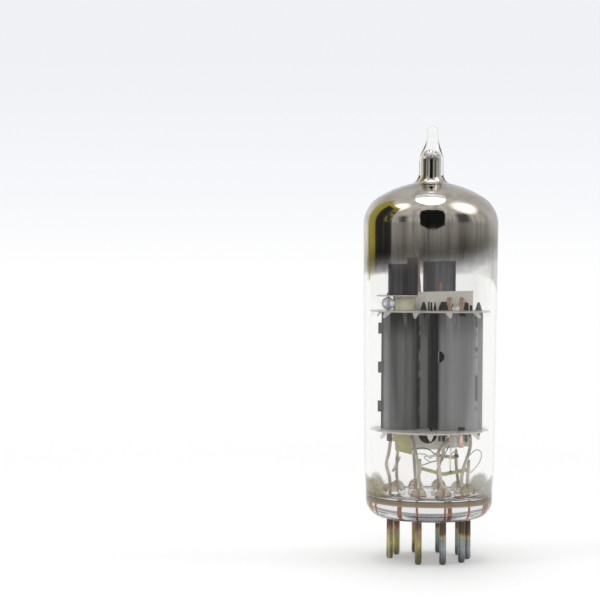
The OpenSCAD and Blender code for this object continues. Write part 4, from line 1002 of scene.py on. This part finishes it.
def pressed_rod(x, low, high):
    """Upright rod pressed flat at both ends: ovals that ease from the rod's size to the blade's."""
    neck_low = BOTTOM_MICA_Z - 0.9
    neck_high = DECK_Z + 0.65
    z = np.array([
        low, low + BLADE_END, neck_low - BLADE_NECK, neck_low, neck_low + BLADE_NECK, ROD_MID_Z,
        neck_high - BLADE_NECK, neck_high, neck_high + BLADE_NECK, high - BLADE_END, high,
    ])
    flat_foot = ease(1 - (z - neck_low + BLADE_NECK) / (2 * BLADE_NECK))
    flat = flat_foot + ease((z - neck_high + BLADE_NECK) / (2 * BLADE_NECK))
    trim = np.where((z == low) | (z == high), BLADE_TRIM, 1.0)
    half_w = (CONTROL_ROD_R + (BLADE_W - CONTROL_ROD_R) * flat) * trim
    half_d = (CONTROL_ROD_R + (BLADE_D - CONTROL_ROD_R) * flat) * trim
    a = full_turn(20)
    xs = x + half_w[:, None] * np.cos(a)
    ys = half_d[:, None] * np.sin(a)
    return skin(np.stack(np.broadcast_arrays(xs, ys, z[:, None]), 2))


def winding(middle, half_w, half_d, turns):
    """Grid wire: an oval helix round the side rods."""
    a = np.linspace(0, 2 * np.pi * turns, turns * 24 + 1)
    z = np.linspace(WINDING_LOW_Z, WINDING_TOP_Z, len(a))
    path = np.stack([middle + half_w * np.cos(a), half_d * np.sin(a), z], 1)
    return [wire(path, GRID_WIRE_R, sides=8, lean=UP)]


triode_posts = rod_pair(TRIODE_X, TRIODE_ROD_OUT, TRIODE_ROD_R, TRIODE_ROD_TOP_Z)
control_posts = [
    pressed_rod(PENTODE_X - CONTROL_ROD_OUT, ROD_LOW_Z, ROD_TOP_Z),
    pressed_rod(PENTODE_X + CONTROL_ROD_OUT, ROD_LOW_Z - CONTROL_ROD_DROP, ROD_TOP_Z),
]
screen_posts = rod_pair(PENTODE_X, SCREEN_ROD_OUT, SCREEN_ROD_R, ROD_TOP_Z - 0.8)
suppressor_posts = rod_pair(PENTODE_X, SUPPRESSOR_ROD_OUT, SUPPRESSOR_ROD_R, ROD_TOP_Z - 1.2)
for grid, posts, finish, slot, wound in (
    ("triode_grid", triode_posts, COPPER, "copper_rod", winding(TRIODE_X, 1.35, 0.95, 16)),
    ("control_grid", control_posts, COPPER, "copper_rod", winding(PENTODE_X, 1.36, 0.8, 24)),
    ("screen_grid", screen_posts, SIDE_ROD, "nickel_rod", winding(PENTODE_X, 2.08, 1.35, 14)),
    ("suppressor_grid", suppressor_posts, SIDE_ROD, "nickel_rod", winding(PENTODE_X, 2.66, 2.2, 8)),
):
    make(f"{grid}_posts", posts, finish, slot, f"{grid}_rods")
    make(f"{grid}_wire", wound, GRID, "grid_wire", f"{grid}_winding")


def cathode(middle, half_x, r):
    """Cathode sleeve: a thin-walled round or oval tube, from the outside over the rim to the inside."""
    a = full_turn(40)
    inner = r - CATHODE_WALL
    levels = np.array([
        [r, CATHODE_LOW_Z], [r, 24], [r, 33], [r, CATHODE_TOP_Z],
        [inner, CATHODE_TOP_Z], [inner, CATHODE_LOW_Z],
    ])
    x = middle + half_x * np.sign(np.round(np.cos(a), 6)) + levels[:, :1] * np.cos(a)
    y = levels[:, :1] * np.sin(a)
    z = np.broadcast_to(levels[:, 1:], x.shape)
    return [hoop(np.stack([x, y, z], 2))]


def heater(middle, strands, low_z, leg_in, leg_out):
    """Folded heater: an incoming leg, strands joined by half turns at alternate ends, and an outgoing leg."""
    strands = np.array(strands, float)
    a = np.radians(np.linspace(0, 180, 9))[:, None]
    folds = []
    for k in range(len(strands) - 1):
        centre = (strands[k] + strands[k + 1]) / 2
        half = (strands[k] - strands[k + 1]) / 2
        up = 1 if k % 2 == 0 else -1
        z = (HEATER_TOP_Z if up > 0 else low_z) + up * np.linalg.norm(half) * np.sin(a)
        folds.append(np.concatenate([centre + half * np.cos(a), z], 1))
    folds = np.concatenate(folds) + [middle, 0, 0]
    first = [middle + strands[0, 0], strands[0, 1], HEATER_EXIT_Z]
    last = [middle + strands[-1, 0], strands[-1, 1], HEATER_EXIT_Z]
    path = np.concatenate([flowing(leg_in + [first]), folds, flowing([last] + leg_out)])
    return wire(path, HEATER_R, sides=10)


def weld_knot(x, y, z, r, turns):
    """Wire end wound round a post: a rising helix whose radius wavers about r."""
    a = np.linspace(0, 2 * np.pi * turns, 16 * turns + 1)
    waver = r * (1 + 0.12 * np.sin(2.3 * a))
    path = np.stack([x + waver * np.cos(a), y + waver * np.sin(a), z + KNOT_PITCH * a / (2 * np.pi)], 1)
    return wire(path, KNOT_R, sides=8, lean=UP)


triode_sleeve = cathode(TRIODE_X, 0, TRIODE_CATHODE_R)
pentode_sleeve = cathode(PENTODE_X, PENTODE_CATHODE_FLAT, PENTODE_CATHODE_R)
triode_heater = [
    heater(TRIODE_X, TRIODE_STRANDS, TRIODE_HEATER_LOW_Z, TRIODE_LEG_IN, TRIODE_LEG_OUT),
    wire(flowing(HEATER_HOOK), HEATER_R, sides=10),
]
pentode_heater = [heater(PENTODE_X, PENTODE_STRANDS, PENTODE_HEATER_LOW_Z, PENTODE_LEG_IN, PENTODE_LEG_OUT)]
tails = [wire(flowing(tail), TAIL_R, sides=8) for tail in HEATER_TAILS]
knots = [weld_knot(4.55, 3.45, 15.2, 0.33, 3), weld_knot(3.2, -1.03, 13.3, 0.2, 2)]
make("triode_cathode_sleeve", triode_sleeve, SLEEVE, "cathode_sleeve", "triode_cathode")
make("pentode_cathode_sleeve", pentode_sleeve, SLEEVE, "cathode_sleeve", "pentode_cathode")
make("triode_heater_wire", triode_heater, COATING, "heater_coating", "triode_heater")
make("pentode_heater_wire", pentode_heater, COATING, "heater_coating", "pentode_heater")
make("heater_tails", tails + knots, TUNGSTEN, "lead_nickel")


# Screens, fins and what stands on the upper mica

def standing(plan, bend, low, high, thickness):
    """Upright sheet on a plan line whose corners are bent to the given length."""
    return leaf(upright(rounded(plan, bend), low, high, 3), thickness)


def upper_screen():
    """Upper screen: its top edge rises gently to the right up to a limit."""
    plan = rounded(UPPER_SCREEN_PLAN, 0.3)
    slope = UPPER_SCREEN_SLOPE * (plan[:, 0] - UPPER_SCREEN_SLOPE_X)
    edge = np.minimum(DECK_Z + UPPER_SCREEN_H + slope, DECK_Z + UPPER_SCREEN_MOST_H)
    return leaf(upright(plan, DECK_Z, edge, 3), SHEET_T)


def lower_screen():
    """Lower screen: its lower edge is level at the left and rises to the right of the bend."""
    plan = rounded(LOWER_SCREEN_PLAN, 0.15)
    slope = LOWER_SCREEN_SLOPE * np.maximum(plan[:, 0] - LOWER_SCREEN_BEND_X, 0)
    return leaf(upright(plan, BOTTOM_MICA_Z - LOWER_SCREEN_H + slope, BOTTOM_MICA_Z, 3), SHEET_T)


def getter_channel():
    """Getter ring: a U-shaped channel turned round its own axis, open at the top."""
    outside = GETTER_R + GETTER_W / 2
    inside = GETTER_R - GETTER_W / 2
    section = np.array([
        [inside, 0], [outside, 0], [outside, GETTER_H], [outside - GETTER_WALL, GETTER_H],
        [outside - GETTER_WALL, GETTER_WALL], [inside + GETTER_WALL, GETTER_WALL],
        [inside + GETTER_WALL, GETTER_H], [inside, GETTER_H],
    ])
    return moved(hoop(lathe(section, 64)), *GETTER_AT, GETTER_Z)


def drilled_bead():
    """Ball with a hole: an arc of a circle turned round the hole and closed by the hole's wall."""
    hole = [[BEAD_PIN_R, BEAD_HALF_H], [BEAD_PIN_R, -BEAD_HALF_H]]
    line = np.concatenate([arc(0, 0, BEAD_R, -78, 78, 21), hole])
    return moved(hoop(lathe(line, 40)), *BEAD_AT, (DECK_Z + SMALL_MICA_Z) / 2)


left_fin = [
    standing(LEFT_FIN_PLAN, 0.2, FIN_LEFT_LOW_Z, FIN_TOP_Z, FIN_T),
    standing(FIN_STRIP_PLAN, 0.15, FIN_LEFT_LOW_Z, FIN_STRIP_TOP_Z, FIN_T),
]
right_fin = [standing(RIGHT_FIN_PLAN, 0.2, FIN_RIGHT_LOW_Z, FIN_RIGHT_TOP_Z, FIN_T)]
getter_post = straight(*GETTER_POST_FOOT, TOP_MICA_Z, DECK_Z + 2.3)
getter_post += straight(*GETTER_POST_TOP, GETTER_Z - 0.6, GETTER_Z)
fin_post = straight(*FIN_POST_FOOT, TOP_MICA_Z, 40, FIN_POST_TOP_Z)
fin_posts = [wire(rounded(getter_post, 0.4), POST_R, sides=18), wire(fin_post, POST_R, sides=18)]
collar_plan = arc(COLLAR_X, 0, COLLAR_R - COLLAR_T / 2, 200, 340, 25)
collar = leaf(upright(collar_plan, DECK_Z, SMALL_MICA_Z, 3), COLLAR_T)
bead_rod = wire(straight(*BEAD_AT, TOP_MICA_Z - 0.4, 39.3, SMALL_MICA_Z + 0.6), BEAD_PIN_R)
make("upper_screen", [upper_screen()], BRIGHT, "bright_nickel", "top_shield")
make("lower_screen", [lower_screen()], BRIGHT, "bright_nickel", "bottom_shield")
make("left_fin", left_fin, FIN, "carbon_fin", "radiator_left")
make("right_fin", right_fin, PALE_FIN, "carbon_fin", "radiator_right")
make("fin_posts", fin_posts, COPPER, "copper_rod", "radiator_posts")
make("getter_channel", [getter_channel()], NICKEL_ROD, "bright_nickel", "getter_ring")
make("collar_band", [collar], KHAKI, "bright_nickel", "collar")
make("bead", [drilled_bead()], BEAD, "bead_glass", "glass_bead")
make("bead_rod", [bead_rod], NICKEL_ROD, "bright_nickel", "bead_pin")


# Below the lower mica

def cathode_tab():
    """Four-cornered tab: straight lines across from its left edge to its right one."""
    left = np.array([[-5.2, FLAG_Y, 16.7], [-5.42, FLAG_Y, 19.6]])
    right = np.array([[-2.64, FLAG_Y, 16.05], [-3.1, FLAG_Y, 19.6]])
    share = np.linspace(0, 1, 5)[None, :, None]
    return leaf(left[:, None] + (right - left)[:, None] * share, STRAP_T)


def cathode_bridge():
    """Flat strip from the cathode's wall straight back to the screen."""
    x = LINK_X + LINK_HALF_W * np.array([[-1], [1]])
    y = np.linspace(PENTODE_CATHODE_R, SHIELD_Y - SHEET_T / 2, 4)[None, :]
    return leaf(np.stack(np.broadcast_arrays(x, y, np.full((2, 1), LINK_Z)), 2), STRAP_T)


def strap(line):
    """Flat strip on edge along a line in space: an upright grid whose height follows the line."""
    bent = rounded(line, 0.3)
    return leaf(upright(bent[:, :2], bent[:, 2] - STRAP_H / 2, bent[:, 2] + STRAP_H / 2), STRAP_T)


stub = wire(straight(*STUB_AT, 13.2, 14.4, 15.5), LEAD_R)
loop = wire(flowing(LOOP_ROUTE), LOOP_R, sides=10, lean=(0, 1, 0))
make("cathode_tab", [cathode_tab()], AGED, "aged_nickel", "cathode_flag")
make("cathode_bridge", [cathode_bridge()], NICKEL_ROD, "bright_nickel", "cathode_link")
make("upper_strap", [strap(STRAP_UPPER)], AGED, "aged_nickel", "heater_strap_upper")
make("lower_strap", [strap(STRAP_LOWER)], AGED, "aged_nickel", "heater_strap_lower")
make("stub_wire", [stub], LEAD, "lead_nickel", "heater_stub")
make("spur_wire", [wire(SPUR_LINE, SPUR_R)], LEAD, "lead_nickel", "lead_spur")
make("loop_wire", [loop], LEAD, "lead_nickel", "heater_loop")


# Stage

def stage_floor():
    """White table that keeps the shadow near the tube and turns to plain white further away; ahead of the
    tube it shows dark grey to reflected rays, a painted dark reflection.
    """
    half = 4.0
    mesh = bpy.data.meshes.new("floor")
    corners = [(-half, -half, 0), (half, -half, 0), (half, half, 0), (-half, half, 0)]
    mesh.from_pydata(corners, [], [(0, 1, 2, 3)])
    f = Finish("table_white")
    grain = f.ramp(f.noise(900, 2.0), [(0.3, (0.88, 0.88, 0.875)), (0.7, (0.905, 0.905, 0.9))])
    matte = f.shine(Base_Color=grain, Roughness=0.7)
    ray = f.node("ShaderNodeLightPath").outputs
    # Ahead of the tube the floor shows dark grey to rays reflected off the object: a painted dark reflection.
    ahead = f.spread(f.axis("Y"), -0.14, -0.06, 1.0, 0.0)
    painted_reflection_dark = f.times(ahead, f.maths("MINIMUM", ray["Glossy Depth"], 1.0))
    white = f.mix(painted_reflection_dark, (1, 1, 1), (0.30, 0.295, 0.28))
    glow = f.node("ShaderNodeEmission", {"Color": white, "Strength": 1.0}).outputs[0]
    away = f.node("ShaderNodeVectorMath", {0: f.place}, operation="LENGTH").outputs["Value"]
    indirect = f.maths("MAXIMUM", ray["Is Glossy Ray"], ray["Is Transmission Ray"])
    seen = f.maths("MAXIMUM", ray["Is Camera Ray"], indirect)
    share = f.times(seen, f.spread(away, 0.05, 0.22))
    mesh.materials.append(f.done(f.node("ShaderNodeMixShader", {0: share, 1: matte, 2: glow}).outputs[0]))
    floor = bpy.data.objects.new("floor", mesh)
    bpy.context.scene.collection.objects.link(floor)


def studio_world():
    """White backdrop for what is seen; for mirrors a grey room with a dark doorway, boards and soft lamps."""
    world = bpy.data.worlds.new("studio")
    bpy.context.scene.world = world
    world.use_nodes = True
    n = Nodes(world.node_tree, "ShaderNodeOutputWorld", "Generated")
    x, y, z = (n.axis(name) for name in "XYZ")
    turn = n.maths("ARCTAN2", x, n.times(y, -1.0))
    rise = n.maths("ARCSINE", z)

    def between(value, edges, blurs):
        """Share of what lies between two edges, each with its own blur, all in degrees."""
        low, high, low_blur, high_blur = (math.radians(angle) for angle in (*edges, *blurs))
        opened = n.spread(value, low - low_blur, low + low_blur)
        return n.times(opened, n.spread(value, high - high_blur, high + high_blur, 1, 0))

    def panel(turns, rises, blur, foot_blur=None):
        """Share of a soft rectangle between two turns from the front and two rises, in degrees."""
        height = between(rise, rises, (foot_blur or blur, blur))
        return n.times(between(turn, turns, (blur, blur)), height)

    def glow(towards, inner, outer):
        """Share of a round lamp about a direction, fading from the angles inner to outer in degrees."""
        inputs = {0: n.place, 1: towards}
        near = n.node("ShaderNodeVectorMath", inputs, operation="DOT_PRODUCT").outputs["Value"]
        return n.spread(near, math.cos(math.radians(outer)), math.cos(math.radians(inner)))

    backdrop = n.ramp(z, [
        (0.005, (1, 1, 1)), (0.04, (0.94, 0.948, 0.966)), (0.07, (0.914, 0.922, 0.956)),
        (0.1, (0.888, 0.896, 0.931)), (0.13, (0.871, 0.88, 0.914)),
    ])
    wall = n.ramp(z, [
        (0.0, (0.34, 0.335, 0.32)), (0.06, (0.46, 0.45, 0.43)), (0.2, (0.58, 0.57, 0.55)),
        (0.5, (0.58, 0.57, 0.55)), (0.8, (0.66, 0.65, 0.63)), (1.0, (0.76, 0.75, 0.73)),
    ])
    streak = n.spread(n.noise(7, 2.0, stretch=(1, 1, 0.15)), 0.4, 0.7, 0.0, 0.5)
    room = n.mix(streak, wall, (0.16, 0.155, 0.15))
    for turns, rises, blur, share in (
        ((-64, -48), (2, 26), 6, 0.9),
        ((44, 72), (2, 34), 7, 0.9),
        ((-37, -36), (0.6, 48), 0.6, 0.7),
        ((35, 36), (0.6, 48), 0.6, 0.7),
        ((48, 140), (-4, 0.3), 0.5, 0.3),
    ):
        room = n.mix(n.times(panel(turns, rises, blur), share), room, (0.05, 0.05, 0.05))
    room = n.mix(glow((-0.62, 0.0, 0.78), 2, 19), room, (2.2, 2.15, 2.0))
    room = n.mix(glow((0.67, -0.05, 0.74), 4, 25), room, (2.2, 2.15, 2.0))
    behind = n.times(n.spread(y, 0.3, 0.9), n.spread(z, 0.2, 0.6, 1.0, 0.0))
    room = n.mix(n.times(behind, n.spread(x, -0.2, 0.5, 1.0, 0.55)), room, backdrop)
    black = (0.03, 0.03, 0.03)
    mustard = (0.40, 0.35, 0.07)
    specks = n.times(n.spread(n.noise(8, 2.0), 0.46, 0.56, 0.0, 0.6), n.spread(rise, 0.03, 0.2))
    patchy = n.mix(specks, black, mustard)
    room = n.mix(panel((-147, -80), (-8, 49), 1.2), room, mustard)
    room = n.mix(panel((-97, -79), (-8, 44), 1.0), room, patchy)
    room = n.mix(panel((-121, -97), (-8, 44), 1.0), room, black)
    corner = n.spread(rise, math.radians(46), math.radians(54), 0.0, 0.2)
    foot = n.spread(rise, math.radians(0.50), math.radians(0.72), 0.13, 0.385)
    half = n.less(n.plus(foot, n.spread(rise, 0.07, 0.7, 0.0, 0.055)), corner)
    inside = n.less(half, n.maths("ABSOLUTE", n.plus(turn, 0.022)))
    doorway = n.times(n.spread(inside, -0.018, 0.018), panel((-40, 40), (0.53, 53), 1.2, 0.06))
    mirrored = n.mix(doorway, room, (0.012, 0.012, 0.013))
    # Rays that pass through the glass and leave sideways meet olive grey, darker to the left: painted shade
    # along the glass's edges.
    edges = n.mix(n.spread(x, -0.7, -0.3), (0.30, 0.29, 0.22), (0.52, 0.515, 0.50))
    through = n.mix(n.spread(n.maths("ABSOLUTE", y), 0.2, 0.75), edges, backdrop)
    ray = n.node("ShaderNodeLightPath").outputs
    seen = n.mix(n.maths("MINIMUM", ray["Glossy Depth"], 1.0), through, mirrored)
    plain = n.mix(ray["Is Camera Ray"], seen, backdrop)
    light = n.mix(n.maths("MINIMUM", ray["Diffuse Depth"], 1.0), plain, (0.75, 0.75, 0.755))
    n.close(n.node("ShaderNodeBackground", {"Color": light}).outputs[0])


def softbox(name, at, towards, width, depth, power, mirrored):
    """Oval lamp at one place, facing another; mirrors may show it or leave it to the room's glows."""
    lamp = bpy.data.lights.new(name, "AREA")
    lamp.shape = "ELLIPSE"
    lamp.size = width
    lamp.size_y = depth
    lamp.energy = power
    holder = bpy.data.objects.new(name, lamp)
    holder.location = at
    holder.rotation_euler = (Vector(towards) - Vector(at)).to_track_quat("-Z", "Y").to_euler()
    holder.visible_camera = False
    holder.visible_glossy = mirrored
    holder.visible_transmission = mirrored
    bpy.context.scene.collection.objects.link(holder)


stage_floor()
studio_world()
TARGET = (0, 0, 0.035)
softbox("top_box", (0.004, 0.055, 0.5), (0.004, 0.055, 0), 0.22, 0.37, 0.65, True)
softbox("left_lamp", (-0.46, -0.16, 0.66), TARGET, 0.2, 0.2, 0.6, False)
softbox("right_lamp", (0.56, 0.0, 0.56), TARGET, 0.24, 0.2, 0.6, False)
softbox("front_lamp", (-0.05, -0.5, 0.13), TARGET, 0.3, 0.25, 1.2, False)

# Camera at the photograph's place
CAMERA_AT = (-0.020, -0.256, 0.0433)
CAMERA_PITCH = math.radians(90 - 0.82)
CAMERA_ROLL = math.radians(0.35)
camera = bpy.data.objects.new("camera", bpy.data.cameras.new("camera"))
camera.data.lens = 100.0
camera.data.sensor_width = 36.0
camera.data.clip_start = 0.01
pitched = Matrix.Rotation(CAMERA_PITCH, 4, "X") @ Matrix.Rotation(CAMERA_ROLL, 4, "Z")
camera.matrix_world = Matrix.Translation(CAMERA_AT) @ pitched
bpy.context.scene.collection.objects.link(camera)
bpy.context.scene.camera = camera
bpy.context.scene.view_settings.view_transform = "Standard"

bpy.context.view_layer.update()
